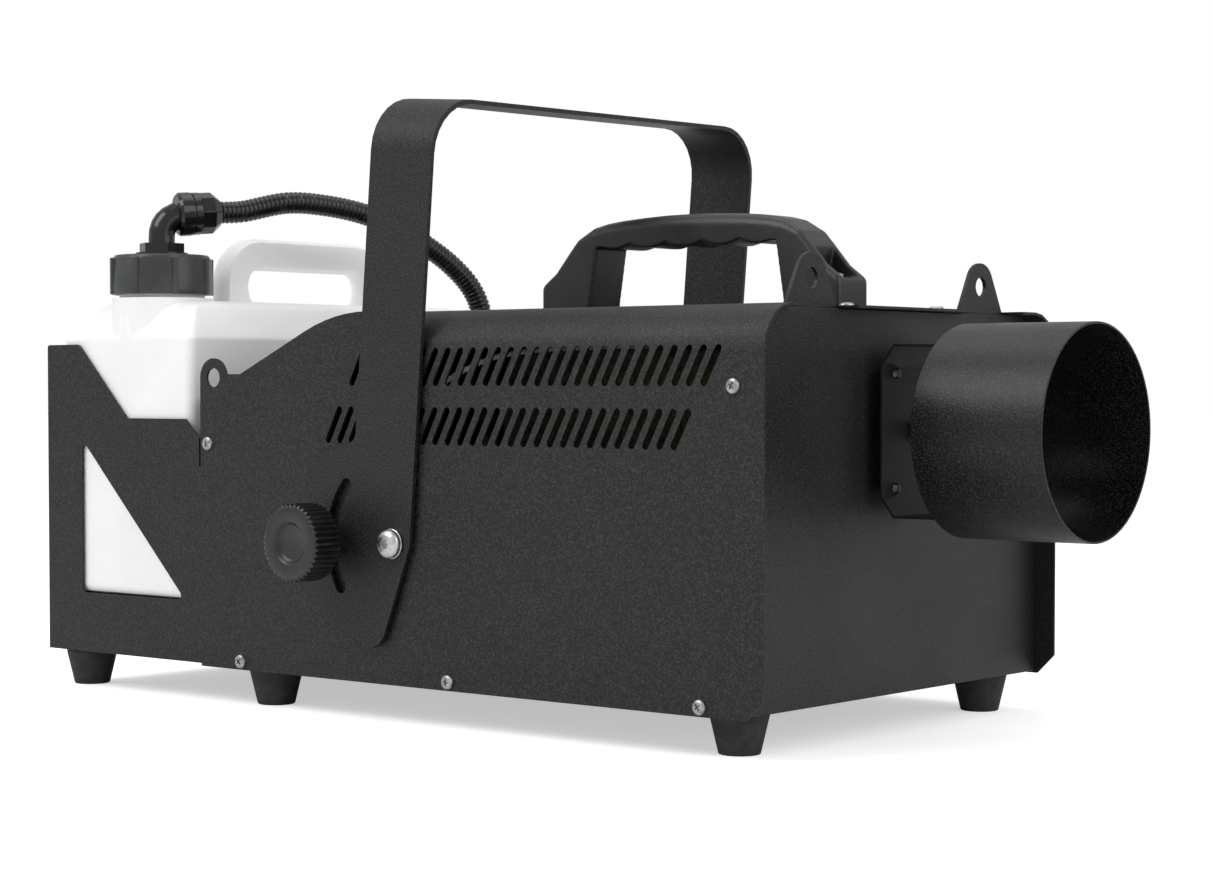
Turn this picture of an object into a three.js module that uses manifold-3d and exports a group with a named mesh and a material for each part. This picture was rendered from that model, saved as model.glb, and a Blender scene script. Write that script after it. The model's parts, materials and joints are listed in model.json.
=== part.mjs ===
// Stage fog machine: a folded sheet-metal body with a rear tank cradle, a hanging yoke and a round fog duct.
// Millimetres, +Z up. +X points the way the fog leaves. The group's origin is under the middle of the
// machine, on the surface it stands on. Inside the file, x is 0 at the cover's front edge and y is 0 in the
// middle plane.

import * as THREE from "three";
import { mergeGeometries, mergeVertices } from "three/addons/utils/BufferGeometryUtils.js";
import Module from "manifold-3d";

const wasm = await Module();
wasm.setup();

// Body
const BODY_WIDTH = 300; // over the cover's two sides
const BODY_LENGTH = 587; // cover's front edge to the cradle's rear edge
const BAY_LENGTH = 152.5; // cover's rear edge to the cradle's rear edge
const COVER_HEIGHT = 219; // lower edge to top
const FOOT_HEIGHT = 22; // floor to the cover's lower edge
const SHEET = 1.5; // body sheet steel
const GAP = 0.3; // seat between two pieces that touch
const OVERRUN = 2; // how far a cutter passes the face that it cuts

// Cover
const TOP_BEND = 25;
const RAMP_REACH = 146.5; // cover's rear edge forward to where the top begins to fall
const RAMP_ANGLE = THREE.MathUtils.degToRad(24);
const RAMP_RADIUS = 130;
const LEDGE_DROP = 36.7; // from the top down to the ledge at the rear
const CORNER_CHAMFER = 11.5;
const REAR_EYE_WIDTH = 24;
const REAR_EYE_HOLE = 12;
const REAR_EYE_DROP = 2.1; // ledge down to the hole's centre

// Slanted vents
const VENT_ROWS = 2;
const VENT_COUNT = 28;
const VENT_WIDTH = 3.2;
const VENT_HEIGHT = 21.6;
const VENT_LEAN = 11.5;
const VENT_FRONT = 28.7; // front edge to the top of the first vent
const VENT_PAST_RAMP = 2.3; // ramp's start back to the top of the last vent
const VENT_DROP = 22.2; // top of the cover to the top of the upper row
const VENT_ROW_DROP = 34;
const VENT_ROW_SHIFT = 20;
const VENT_END_DEGREES = [-90, -30, 30, 90]; // corners of a rounded end, from the vent's long axis

// Handle screws
const SCREW_HEAD = 8.6;
const SCREW_RISE = 2.2;
const SCREW_SIDES = 8;
const SCREW_RIM_SHARE = 0.4; // of the rise
const SCREW_CROWN_SHARES = [0.72, 0.86]; // of the radius and the rise

// Cradle
const LAP = 14; // overlap of two sheets at a seam
const TRAY_LIFT = 1.4; // the tray's underside over the cover's lower edge
const TRAY_FLANGE = 22;
const WING_HEIGHT = 202;
const WING_TOP = 31.7; // length of the wing's high top edge
const WING_SLOPE = 48;
const WING_STEP = 154.3; // height of the wing's low top edge
const WING_STEP_END = 16.3; // from the cover's rear edge back to the chamfer
const WING_CHAMFER_FALL = 11.9;
const WING_ROUND = 4;
const WING_EDGE_ROUND = 1.5;
const SLIT_WIDTH = 3.4;
const SLIT_BOTTOM = 124.8;
const WING_LAP = 18; // how far the wing reaches inside the cover
const WINDOW_REAR = 35; // cradle's rear edge to the window
const WINDOW_SIDE = 100;
const WINDOW_BOTTOM = 40;
const WINDOW_CORNER = 2.5;
const REAR_RECESS = 10;
const BAY_STEP = 7.2; // fall of the bay's ledge under the ramp's lower end
const BAY_STEP_RUN = 2;
const SHELF_FOOT = 18;

// Front
const FRONT_RECESS = 12.7;
const EYE_INSET = 63.5; // body's side to each front eye
const EYE_BASE = 47;
const EYE_RADIUS = 14;
const EYE_HOLE = 11.5;
const EYE_RISE = 14.4; // hole centre over the cover's top
const EYE_SHEET = 2.5;
const EYE_LENGTH = 40; // part of the eye plate behind the front plate
const DUCT_HEIGHT = 150.1; // duct's centre over the cover's lower edge
const DUCT_RADIUS = 59.6;
const DUCT_WALL = 1.2;
const DUCT_LENGTH = 80;
const DUCT_REACH = 111; // cover's front edge to the duct's rim
const BRACKET_STAND = 7.7; // front plate to the bracket's face
const BRACKET_SHEET = 1.2;
const BRACKET_BASE = 36.1; // half height of the bracket's base
const BRACKET_ARM = 48; // half height over its two arms
const BRACKET_FLARE = 7.5;
const BRACKET_GRIP = 25; // how far the arms reach into the duct
const STAND_SPREAD = 19.2;
const STAND_INSET = 4;
const STAND_RADIUS = 3.5;
const STAND_NECK = 2;
const STAND_CROWN = 2.45;
const STAND_RIM = 2.1; // head's rise to its rounded edge
const STAND_RISE = 2.5;

// Heating
const HEATER_LENGTH = 220;
const HEATER_SIDE = 64;
const HEATER_ROUND = 6.4;
const HEATER_FRONT = 45;
const BLANKET_WALL = 14;
const BLANKET_LIP = 8; // past each end of the heater
const BLANKET_ROUND = 15;
const HEATER_STAND_INSET = 9; // blanket's side in to the stand's leg
const HEATER_STAND_SHARE = 0.75; // of the heater's length
const HEATER_STAND_FOOT = 18;
const NOZZLE_PIPE = 4.5;
const NOZZLE_FLANGE = 7;
const NOZZLE_HEX = 8;
const NOZZLE_HEX_HEIGHT = 7;
const NOZZLE_TIP = 3;
const NOZZLE_BORE = 1.5;
const NOZZLE_REACH = 16; // past the cover's front edge
const NOZZLE_CLEARANCE = 0.8;

// Pump, tubes, board and wire
const PUMP_REACH = 84.5; // cover's rear edge forward to the pump's middle
const PUMP_RADIUS = 20;
const PUMP_LENGTH = 52;
const PUMP_SPIGOT = 9;
const PUMP_SADDLE = 36;
const PUMP_SADDLE_HALF = 22;
const PUMP_SADDLE_HEIGHT = 11.5;
const TUBE_RADIUS = 3;
const HEATER_TUBE_RADIUS = 2.4;
const FEED_TURN_SHARE = 0.12; // of the way from the gland to the pump
const FEED_LEAD_SHARE = 0.4;
const BOARD_INSET = 38; // body's side to the control board
const BOARD_HEIGHT = 88;
const BOARD_LENGTH = 110;
const BOARD_FRONT = 18; // cover's rear edge forward to the board
const CHOKE_SIDE = 36;
const WIRE_RADIUS = 1.5;
const WIRE_START_SHARE = 0.9; // of the board's length
const WIRE_LIFT = 18; // straight lead over the board
const WIRE_BOW = 5.5; // outward swing past the board

// Handle
const HANDLE_PLACE_SHARE = 0.3636; // of the cover's length, to the handle's middle
const HANDLE_HALF = 112;
const HANDLE_HEIGHT = 58.3;
const HANDLE_WIDTH = 30;
const HANDLE_BLOCK = 17.5;
const HANDLE_GRIP = 18;
const HANDLE_WEB = 5.5;
const HANDLE_EDGE = 2.5; // moulded edge
const HANDLE_ROUND = 4.5;
const HANDLE_OUTLINE_SHARES = [[0.9, 0.44], [0.74, 0.79], [0.64, 0.92], [0.3, 0.985]]; // half length, height
const HANDLE_WINDOW_FOOT_SHARE = 0.66; // of the half length
const HANDLE_WINDOW_TOP_SHARE = 0.6;
const POCKET_FLOOR_SHARE = 0.78; // of the half length, to the pocket's inner end
const POCKET_ROOF_SHARE = 0.82;
const POCKET_TOP_SHARE = 0.66; // of the height
const HANDLE_SCREW_SHARE = 0.89; // of the half length
const FINGER_COUNT = 5;
const FINGER_STEPS = 5;
const FINGER_DEPTH = 3;

// Yoke
const PIVOT_SHARE = 0.6083; // of the cover's length, from the front edge to the pivot
const PIVOT_HEIGHT = 83.3; // over the cover's lower edge
const YOKE_TILT = THREE.MathUtils.degToRad(4.6);
const YOKE_SHEET = 2.6;
const YOKE_CLEARANCE = 1.3; // between the cover's side and the arm
const YOKE_TOP = 261.2;
const YOKE_SLANT = 2; // the strap's top lies this much lower at its near end and higher at its far end
const YOKE_FRONT = 14;
const YOKE_REAR = 34.7;
const YOKE_BEND = 60;
const FAN_REACH = 70;
const FAN_SHOULDER = 57;
const FAN_DROP = 66.5;
const FAN_FALL = 13.6; // how far the fan's edge falls over its reach
const FAN_CORNER = 12;
const SLOT_RADIUS = 50;
const SLOT_WIDTH = 9;
const SLOT_HALF_ANGLE = THREE.MathUtils.degToRad(36.6);

// Knobs and pivots
const KNOB_RADIUS = 23;
const KNOB_DEPTH = 20.5;
const KNOB_STAND = 14; // arm to the knob's back
const KNOB_RIBS = 40;
const KNOB_RIB_DEPTH = 0.9;
const KNOB_DISH = 10.1;
const KNOB_DISH_DEPTH = 2.4;
const KNOB_BOSS = 9;
const STUD_RADIUS = 4;
const BOLT_HEAD = 8.6;
const BOLT_RISE = 5;
const BOLT_DOME_SHARES = [[1, 0.25], [0.85, 0.7], [0.55, 1]]; // of the head's radius and rise
const BOLT_SOCKET = 2.8;
const BOLT_SOCKET_DEPTH = 3;
const BOLT_WASHER = 10;
const WASHER_SHEET = 1.2;
const BOLT_SHANK = 4;
const SHANK_REACH = 12; // inside the cover's side

// Tank
const TANK_REAR_CLEARANCE = 1;
const TANK_FRONT_CLEARANCE = 14.5;
const TANK_SIDE_CLEARANCE = 1;
const TANK_BASE = 39.3; // over the cover's lower edge
const TANK_SHOULDER = 230; // over the cover's lower edge
const TANK_CORNER = 6;
const TANK_SLOPE_DROP = 26; // top down to where the shoulder's slope begins
const TANK_SLOPE_INSET = 19;
const TANK_SHOULDER_SHARES = [[1, 0], [0.9, 0.02], [0.23, 0.6], [0.09, 0.95], [0, 1.3]]; // of drop and inset
const TANK_FOOT = 6;
const TANK_FOOT_SHARES = [[0, 1], [0.3, 0.3], [1, 0]]; // of the foot's rounding, up and in
const TANK_WALL = 2.5;
const NECK_INSET = 64.6; // rear panel forward to the neck's axis
const NECK_EDGE = 32.2; // tank's near side to the neck's axis
const BOSS_RADIUS = 32.5;
const BOSS_TOP = 232; // over the cover's lower edge
const BOSS_LENGTH = 32;
const NECK_RADIUS = 27.5;
const NECK_RISE = 20; // neck over its boss
const LOOP_NECK = 48.5; // neck's axis to the loop's near end
const LOOP_INSET = 59.7; // tank's far side to the loop's far end
const LOOP_TOP = 274; // over the cover's lower edge
const LOOP_BAR = 21;
const LOOP_CORNER = 30;
const LOOP_ROUND = 7.5;
const LOOP_WINDOW_CORNER = 10.5;
const LOOP_WINDOW_FLOOR = 0.3; // tank's top down to the loop window's lower edge

// Cap
const CAP_RADIUS = 33.2;
const CAP_HEIGHT = 25.7;
const CAP_LIFT = 2.3; // the cap's rim over the boss
const CAP_LID = 6;
const CAP_LIP = 0.5;
const CAP_LIP_RISE = 3;
const CAP_DRAFT = 1;
const CAP_ROUND = 3.2;
const CAP_RIBS = 8;
const CAP_RIB = 3.6;
const CAP_RIB_RISE = 0.9;
const CAP_RIB_ROOT = 2.5;
const CAP_RIB_STOP = 2; // cap's top down to the rib's end
const CAP_RIB_TURN_SHARE = 0.42; // of the angle between two ribs
const SEAL_SHEET = 1.4;
const SEAL_HOLE = 17.5;

// Elbow and connector
const ELBOW_RADIUS = 8.75;
const ELBOW_BEND = 13;
const ELBOW_RISE = 26.3; // cap's top to the level branch
const ELBOW_TILT = THREE.MathUtils.degToRad(4);
const ELBOW_HEX = 12.9;
const ELBOW_HEX_HEIGHT = 6.1;
const ELBOW_FLANGE = 17;
const ELBOW_STEM = 3; // past the lock nut
const LOCK_NUT = 5;
const LOCK_HEX = 14.4;
const COLLAR_RADIUS = 14.3;
const COLLAR_ROUND = 1.6;
const COLLAR_START = 10;
const COLLAR_LENGTH = 14.5;
const COLLAR_GROOVE_SHARE = 0.6; // of the collar's length, to its groove
const COLLAR_GROOVE = 1.5;
const COLLAR_STEP = 0.4;
const NUT_RADIUS = 13.6;
const NUT_LENGTH = 14;
const NUT_TAPER = 5.5;
const NUT_LIP = 1.6; // wall of the nut's mouth round the hose

// Hose and gland
const HOSE_RADIUS = 7.25;
const HOSE_VALLEY = 6.2;
const HOSE_BORE = 4.9;
const HOSE_PITCH = 3;
const HOSE_SIDES = 8;
const HOSE_BORE_STEP = 10; // rings of the outside to one ring of the bore
// The hose's middle line between its two straight ends, as shares of the run from neck to gland and of the
// height from the gland's top to the elbow's branch.
const HOSE_ROUTE_SHARES = [
  [0.378, 1.115], [0.498, 1.104], [0.623, 1.044], [0.738, 0.93],
  [0.823, 0.808], [0.9, 0.668], [0.958, 0.513], [0.989, 0.352],
];
const GLAND_INSET = 22; // cover's rear edge forward to the gland
const GLAND_EDGE = 62; // body's far side to the gland
const GLAND_RADIUS = 10.5;
const GLAND_PORT = 6.9;
const GLAND_RISE = 23; // over the bay's ledge
const GLAND_COLLAR = 14;
const GLAND_THREAD = 6;
const GLAND_TAIL = 14;
const GLAND_TAIL_RADIUS = 4.8;

// Feet
const FOOT_FRONT = 36; // front edge to the front feet
const FOOT_FRONT_INSET = 28; // body's side to the front feet
const FOOT_MIDDLE = 45.5; // cover's rear edge forward to the middle feet
const FOOT_REAR = 20.3; // cradle's rear edge to the rear feet
const FOOT_INSET = 21;
const FOOT_TOP_RADIUS = 16.5;
const FOOT_RADIUS = 11.5;
const FOOT_BAND = 2;

// Rear controls
const CONTROL_HEIGHT = 21.5; // row's middle over the cover's lower edge
const CONTROL_DEPTH = 22;
// From the middle plane, as shares of the panel's half width
const CONTROL_SHARES = {
  inlet: -0.8, fuse: -0.58, power: -0.41, display: -0.15, buttons: 0.06, dmxIn: 0.53, dmxOut: 0.76,
};
const PLATE_RISE = 2;
const PLATE_LIP = 2; // how far a plate covers the edge of its opening
const INLET_WIDTH = 31;
const INLET_HEIGHT = 25;
const INLET_WALL = 2;
const INLET_WELL = 15;
const INLET_TONGUE = 15;
const INLET_TONGUE_SHEET = 6;
const JACK_WIDTH = 26;
const JACK_HEIGHT = 31;
const JACK_BORE = 10;
const JACK_WALL = 2;
const JACK_WELL = 13;
const JACK_PINS = 3;
const JACK_PIN = 1.2;
const JACK_PIN_CIRCLE = 4;
const JACK_PLUG = 6.6;
const SWITCH_WIDTH = 21;
const SWITCH_HEIGHT = 15;
const ROCKER_AXIS = 3; // rocker's axis behind the rear panel's outer face
const ROCKER_RADIUS = 9;
const ROCKER_THROW = THREE.MathUtils.degToRad(8);
const ROCKER_SIDE_CLEARANCE = 1;
const ROCKER_PROUD = 1.6;
const ROCKER_TIP = 0.6;
const ROCKER_DIP = 1.2;
const ROCKER_TAPER_SHARES = [0.9, 0.35]; // of the half width, at the axis and at the tail
const DISPLAY_WIDTH = 42;
const DISPLAY_HEIGHT = 22;
const DISPLAY_DEPTH = 7.3;
const BUTTON_RADIUS = 2.6;
const BUTTON_STEM = 1.8;
const BUTTON_CROWN = 2.1;
const BUTTON_RISE = 2.4;
const BUTTON_TAIL = 4.8;
const BUTTON_PITCH = 10;
const BUTTON_COUNT = 4;
const FUSE_RADIUS = 7.5;
const FUSE_BODY = 6;
const FUSE_RIM = 3;
const FUSE_RISE = 6;
const FUSE_TAIL = 17.6;
const FUSE_SLOT = 9;
const FUSE_SLOT_WIDTH = 1.2;
const FUSE_SLOT_DEPTH = 1.4;

// Places that follow from the sizes
const NEAR = -1; // side that faces -Y
const FAR = 1;
const HALF = BODY_WIDTH / 2;
const COVER_LENGTH = BODY_LENGTH - BAY_LENGTH;
const LOW = FOOT_HEIGHT;
const TOP = LOW + COVER_HEIGHT;
const LEDGE = TOP - LEDGE_DROP;
const INNER = HALF - SHEET; // cover's inner face
const TRAY_HALF = INNER - GAP; // outer face of the tray's wings
const BULKHEAD_HALF = TRAY_HALF - SHEET - GAP;
const TRAY_UNDER = LOW + TRAY_LIFT;
const TRAY_FLOOR = TRAY_UNDER + SHEET;
const DECK = TRAY_FLOOR + GAP; // where pieces stand on the tray
const FRONT_BACK = FRONT_RECESS + SHEET; // front edge to the front plate's back
const ROOF = TOP - SHEET - GAP; // highest level of a piece under the cover's top
const RAMP_START = COVER_LENGTH - RAMP_REACH;
const RAMP_RUN = RAMP_RADIUS * Math.sin(RAMP_ANGLE);
const RAMP_ARC_DROP = RAMP_RADIUS * (1 - Math.cos(RAMP_ANGLE));
const RAMP_END = RAMP_START + RAMP_RUN + (LEDGE_DROP - RAMP_ARC_DROP) / Math.tan(RAMP_ANGLE);
const VENT_PITCH = (RAMP_START + VENT_PAST_RAMP - VENT_FRONT) / (VENT_COUNT - 1);
const BAY_LEDGE = LEDGE - SHEET - GAP - BAY_STEP; // top of the bay wall's ledge
const DUCT_Z = LOW + DUCT_HEIGHT;
const EYE_SPREAD = HALF - EYE_INSET;
const BRACKET_FACE = -FRONT_RECESS + BRACKET_STAND;
const HEATER_REAR = -HEATER_FRONT - HEATER_LENGTH;
const HEATER_MIDDLE = -HEATER_FRONT - HEATER_LENGTH / 2;
const BLANKET_LENGTH = HEATER_LENGTH + 2 * BLANKET_LIP;
const BLANKET_HALF = HEATER_SIDE / 2 + GAP + BLANKET_WALL;
const PUMP_X = -COVER_LENGTH + PUMP_REACH;
const PUMP_Z = DECK + PUMP_RADIUS + SHEET;
const BOARD_X = -COVER_LENGTH + BOARD_FRONT;
const BOARD_Y = -HALF + BOARD_INSET;
const ARM_OUTER = HALF + YOKE_CLEARANCE + YOKE_SHEET;
const PIVOT = new THREE.Vector3(-PIVOT_SHARE * COVER_LENGTH, 0, LOW + PIVOT_HEIGHT);
const REAR_FACE = BODY_LENGTH - REAR_RECESS; // rear panel's outer face, from the front edge
const BAY_REAR = -REAR_FACE + SHEET;
const TANK_HALF = TRAY_HALF - SHEET - TANK_SIDE_CLEARANCE;
const TANK_DEPTH = BAY_LENGTH - REAR_RECESS - SHEET - TANK_REAR_CLEARANCE - TANK_FRONT_CLEARANCE;
const TANK_X = BAY_REAR + TANK_REAR_CLEARANCE + TANK_DEPTH / 2;
const TANK_BOTTOM = LOW + TANK_BASE;
const TANK_TOP = LOW + TANK_SHOULDER;
const NECK_BACK = REAR_FACE - NECK_INSET;
const NECK_SIDE = TANK_HALF - NECK_EDGE;
const LOOP_NEAR = NECK_SIDE - LOOP_NECK;
const LOOP_FAR = TANK_HALF - LOOP_INSET;
const NECK_TOP = LOW + BOSS_TOP + NECK_RISE;
const CAP_BOTTOM = LOW + BOSS_TOP + CAP_LIFT;
const CAP_TOP = CAP_BOTTOM + CAP_HEIGHT;
const CAP_UNDER = CAP_TOP - CAP_LID;
const BRANCH_Z = CAP_TOP + ELBOW_RISE;
const NUT_START = COLLAR_START + COLLAR_LENGTH + GAP;
const NUT_END = NUT_START + NUT_LENGTH;
const GLAND_BACK = COVER_LENGTH - GLAND_INSET;
const GLAND_SIDE = HALF - GLAND_EDGE;
const GLAND_TOP = BAY_LEDGE + GAP + GLAND_RISE;
const CONTROL_Z = LOW + CONTROL_HEIGHT;
const controlY = (name) => CONTROL_SHARES[name] * BULKHEAD_HALF;

// The hose lies in the upright plane through the neck and the gland.
const RUN = new THREE.Vector2(NECK_BACK - GLAND_BACK, GLAND_SIDE + NECK_SIDE);
const HEADING = Math.atan2(RUN.y, RUN.x);

// Finishes: colour, roughness and metalness
const POWDER = [0x373737, 0.6, 0.2];
const PLASTIC = [0x2e2f30, 0.55, 0];
const GLOSS = [0x1d1f20, 0.3, 0];
const RUBBER = [0x202020, 0.85, 0];
const ZINC = [0xc9cbc8, 0.3, 0.9];
const NATURAL = [0xf1f2f1, 0.45, 0];
const BRASS = [0xb08a4a, 0.35, 0.9];
const ALUMINIUM = [0xaaacae, 0.4, 0.9];
const BLANKET = [0xb39a74, 0.9, 0];
const BOARD = [0x2f5d3a, 0.6, 0];

// Geometry to solids and back
const AXES = { X: new THREE.Vector3(1, 0, 0), Y: new THREE.Vector3(0, 1, 0), Z: new THREE.Vector3(0, 0, 1) };
const WELD = 1e-4; // points closer than this are one

function solid(geometry) {
  const plain = geometry.index ? geometry.toNonIndexed() : geometry.clone();
  plain.deleteAttribute("normal");
  plain.deleteAttribute("uv");
  const merged = mergeVertices(plain, WELD);
  return new wasm.Manifold(
    new wasm.Mesh({
      numProp: 3,
      vertProperties: merged.attributes.position.array,
      triVerts: new Uint32Array(merged.index.array),
    }),
  );
}

function join(...parts) {
  return parts.map((p) => (p.isBufferGeometry ? solid(p) : p)).reduce((a, b) => a.add(b));
}

function cut(body, ...tools) {
  return tools.reduce((a, b) => a.subtract(b.isBufferGeometry ? solid(b) : b), join(body));
}

function geometryOf(body) {
  const data = body.getMesh();
  const indexed = new THREE.BufferGeometry();
  indexed.setAttribute("position", new THREE.BufferAttribute(data.vertProperties, data.numProp));
  indexed.setIndex(new THREE.BufferAttribute(data.triVerts, 1));
  const flat = indexed.toNonIndexed();
  flat.computeVertexNormals();
  return flat;
}

function piece(name, shape, [color, roughness, metalness], parent) {
  const geometry = shape.isBufferGeometry ? shape : geometryOf(shape);
  const mesh = new THREE.Mesh(geometry, new THREE.MeshStandardMaterial({ color, roughness, metalness }));
  mesh.name = name;
  parent.add(mesh);
  return mesh;
}

// A larger corner gets more steps.
const arcSteps = (radius) => Math.round(THREE.MathUtils.clamp(Math.sqrt(radius), 2, 7));

// One corner of an outline, rounded to a true arc that stays inside its two edges.
function roundCorner(here, before, after, radius) {
  const back = before.clone().sub(here);
  const on = after.clone().sub(here);
  const half = Math.acos(THREE.MathUtils.clamp(back.dot(on) / (back.length() * on.length()), -1, 1)) / 2;
  const room = Math.min(back.length(), on.length()) / 2 - WELD;
  const reach = Math.min(radius / Math.tan(half), room);
  const middle = back.clone().normalize().add(on.clone().normalize()).normalize();
  const centre = here.clone().addScaledVector(middle, reach / Math.cos(half));
  const enter = here.clone().addScaledVector(back.clone().normalize(), reach);
  const sweep = (2 * half - Math.PI) * Math.sign(back.cross(on));
  const steps = arcSteps(radius);
  return Array.from({ length: steps + 1 }, (_, k) => enter.clone().rotateAround(centre, (sweep * k) / steps));
}

// An outline through corners [a, b] or [a, b, radius].
function outline(corners, target = new THREE.Shape()) {
  const count = corners.length;
  const places = corners.map(([a, b]) => new THREE.Vector2(a, b));
  const points = places.flatMap((here, i) => {
    const radius = corners[i][2];
    if (!radius) return [here];
    return roundCorner(here, places[(i + count - 1) % count], places[(i + 1) % count], radius);
  });
  return target.setFromPoints(points);
}

function rectangle(a0, b0, a1, b1, radius = 0, target) {
  return outline([[a0, b0, radius], [a1, b0, radius], [a1, b1, radius], [a0, b1, radius]], target);
}

function circle(a, b, radius, target = new THREE.Shape()) {
  return target.absarc(a, b, radius, 0, 2 * Math.PI, false);
}

// A folded sheet seen from its end: the path is one face, and the other lies a thickness to its left.
function foldedSheet(path, thickness) {
  const points = path.map(([a, b]) => new THREE.Vector2(a, b));
  const sides = points.slice(1).map((p, i) => {
    const along = p.clone().sub(points[i]).normalize();
    return new THREE.Vector2(-along.y, along.x);
  });
  const left = points.map((p, i) => {
    const before = sides[Math.max(i - 1, 0)];
    const after = sides[Math.min(i, sides.length - 1)];
    const middle = before.clone().add(after).normalize();
    return p.clone().addScaledVector(middle, thickness / middle.dot(before));
  });
  return new THREE.Shape([...points, ...left.reverse()]);
}

function extrude(shape, depth, curveSegments, bevel = 0) {
  return new THREE.ExtrudeGeometry(shape, {
    depth: depth - 2 * bevel,
    curveSegments,
    bevelEnabled: bevel > 0,
    bevelSize: bevel,
    bevelThickness: bevel,
    bevelOffset: -bevel,
    bevelSegments: 2,
  }).translate(0, 0, bevel);
}

// Shapes drawn in (y, z), (x, z) or (x, y) and pulled along the third axis between two places.
function alongX(shape, x0, x1, curveSegments = 6, bevel = 0) {
  const turn = new THREE.Matrix4().makeBasis(AXES.Y, AXES.Z, AXES.X);
  return extrude(shape, x1 - x0, curveSegments, bevel).applyMatrix4(turn).translate(x0, 0, 0);
}

function alongY(shape, y0, y1, curveSegments = 6, bevel = 0) {
  const turn = new THREE.Matrix4().makeBasis(AXES.X, AXES.Z, AXES.Y.clone().negate());
  return extrude(shape, y1 - y0, curveSegments, bevel).applyMatrix4(turn).translate(0, y1, 0);
}

function alongZ(shape, z0, z1, curveSegments = 6) {
  return extrude(shape, z1 - z0, curveSegments).translate(0, 0, z0);
}

function box(x0, x1, y0, y1, z0, z1) {
  const size = [x1 - x0, y1 - y0, z1 - z0];
  return new THREE.BoxGeometry(...size).translate((x0 + x1) / 2, (y0 + y1) / 2, (z0 + z1) / 2);
}

// A box on one side of the middle plane, between two distances from it.
function sideBox(side, x0, x1, y0, y1, z0, z1) {
  return box(x0, x1, Math.min(side * y0, side * y1), Math.max(side * y0, side * y1), z0, z1);
}

// A turned piece on the +Z axis from [radius, z] points; closed ones repeat their first point.
function turned(profile, segments = 32) {
  const points = profile.map(([r, z]) => new THREE.Vector2(r, z));
  return new THREE.LatheGeometry(points, segments).rotateX(Math.PI / 2);
}

function rod(radius, z0, z1, segments = 24) {
  return turned([[0, z0], [radius, z0], [radius, z1], [0, z1]], segments);
}

function ring(inner, outer, z0, z1, segments = 32) {
  return turned([[inner, z0], [outer, z0], [outer, z1], [inner, z1], [inner, z0]], segments);
}

// Turns a piece made on +Z to point along +X, or out of one side of the body.
const toX = (geometry) => geometry.rotateY(Math.PI / 2);
const toSide = (geometry, side) => geometry.rotateX((-side * Math.PI) / 2);

function tube(points, radius, steps, sides = 6) {
  const path = new THREE.CatmullRomCurve3(points, false, "centripetal");
  const section = new THREE.Shape(circle(0, 0, radius).getSpacedPoints(sides).slice(0, sides));
  const options = { steps, extrudePath: path, curveSegments: 1, bevelEnabled: false };
  return new THREE.ExtrudeGeometry(section, options);
}

// A pan head, its seat at z = 0.
function panHead() {
  const radius = SCREW_HEAD / 2;
  const [crown, edge] = SCREW_CROWN_SHARES;
  return turned([
    [0, -SHEET / 2], [radius, -SHEET / 2], [radius, SCREW_RIM_SHARE * SCREW_RISE],
    [crown * radius, edge * SCREW_RISE], [0, SCREW_RISE],
  ], SCREW_SIDES);
}

// Fall of the cover's upper edge, as points from its top to the ledge.
function rampPoints(drop = 0, steps = 6) {
  const points = [];
  for (let i = 0; i <= steps; i++) {
    const angle = (RAMP_ANGLE * i) / steps;
    const fall = drop + RAMP_RADIUS * (1 - Math.cos(angle));
    points.push([-RAMP_START - RAMP_RADIUS * Math.sin(angle), TOP - fall]);
  }
  points.push([-RAMP_END, LEDGE - drop]);
  return points;
}

// Cover: top and two sides folded from one sheet, with its vents, rear eyes and front notches.
function ventCutter() {
  const slots = [];
  const lean = new THREE.Vector2(VENT_LEAN, VENT_HEIGHT);
  const along = lean.clone().normalize();
  const across = new THREE.Vector2(-along.y, along.x);
  const radius = VENT_WIDTH / 2;
  for (let row = 0; row < VENT_ROWS; row++) {
    for (let i = 0; i < VENT_COUNT; i++) {
      const upper = new THREE.Vector2(
        -VENT_FRONT - i * VENT_PITCH - row * VENT_ROW_SHIFT,
        TOP - VENT_DROP - row * VENT_ROW_DROP,
      );
      const lower = upper.clone().sub(lean);
      const corners = [];
      for (const [end, way] of [[upper, 1], [lower, -1]]) {
        const centre = end.clone().addScaledVector(along, -way * radius);
        for (const degrees of VENT_END_DEGREES) {
          const angle = THREE.MathUtils.degToRad(degrees);
          const point = centre.clone().addScaledVector(along, way * radius * Math.cos(angle));
          corners.push(point.addScaledVector(across, way * radius * Math.sin(angle)));
        }
      }
      slots.push(alongY(new THREE.Shape(corners), -HALF - OVERRUN, HALF + OVERRUN));
    }
  }
  return solid(mergeGeometries(slots));
}

// One side of the cover behind the start of the ramp, ending in the rear eye.
function coverSide() {
  const eyeX = -COVER_LENGTH + REAR_EYE_WIDTH / 2;
  const eyeZ = LEDGE - REAR_EYE_DROP;
  const radius = REAR_EYE_WIDTH / 2;
  const side = new THREE.Shape();
  side.moveTo(-COVER_LENGTH, LOW);
  side.lineTo(-RAMP_START + SHEET, LOW);
  side.lineTo(-RAMP_START + SHEET, TOP - TOP_BEND);
  side.lineTo(-RAMP_START, TOP - TOP_BEND);
  rampPoints().forEach(([x, z]) => side.lineTo(x, z));
  side.absarc(eyeX, eyeZ, radius, Math.asin(REAR_EYE_DROP / radius), Math.PI, false);
  side.holes.push(circle(eyeX, eyeZ, REAR_EYE_HOLE / 2, new THREE.Path()));
  return side;
}

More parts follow.
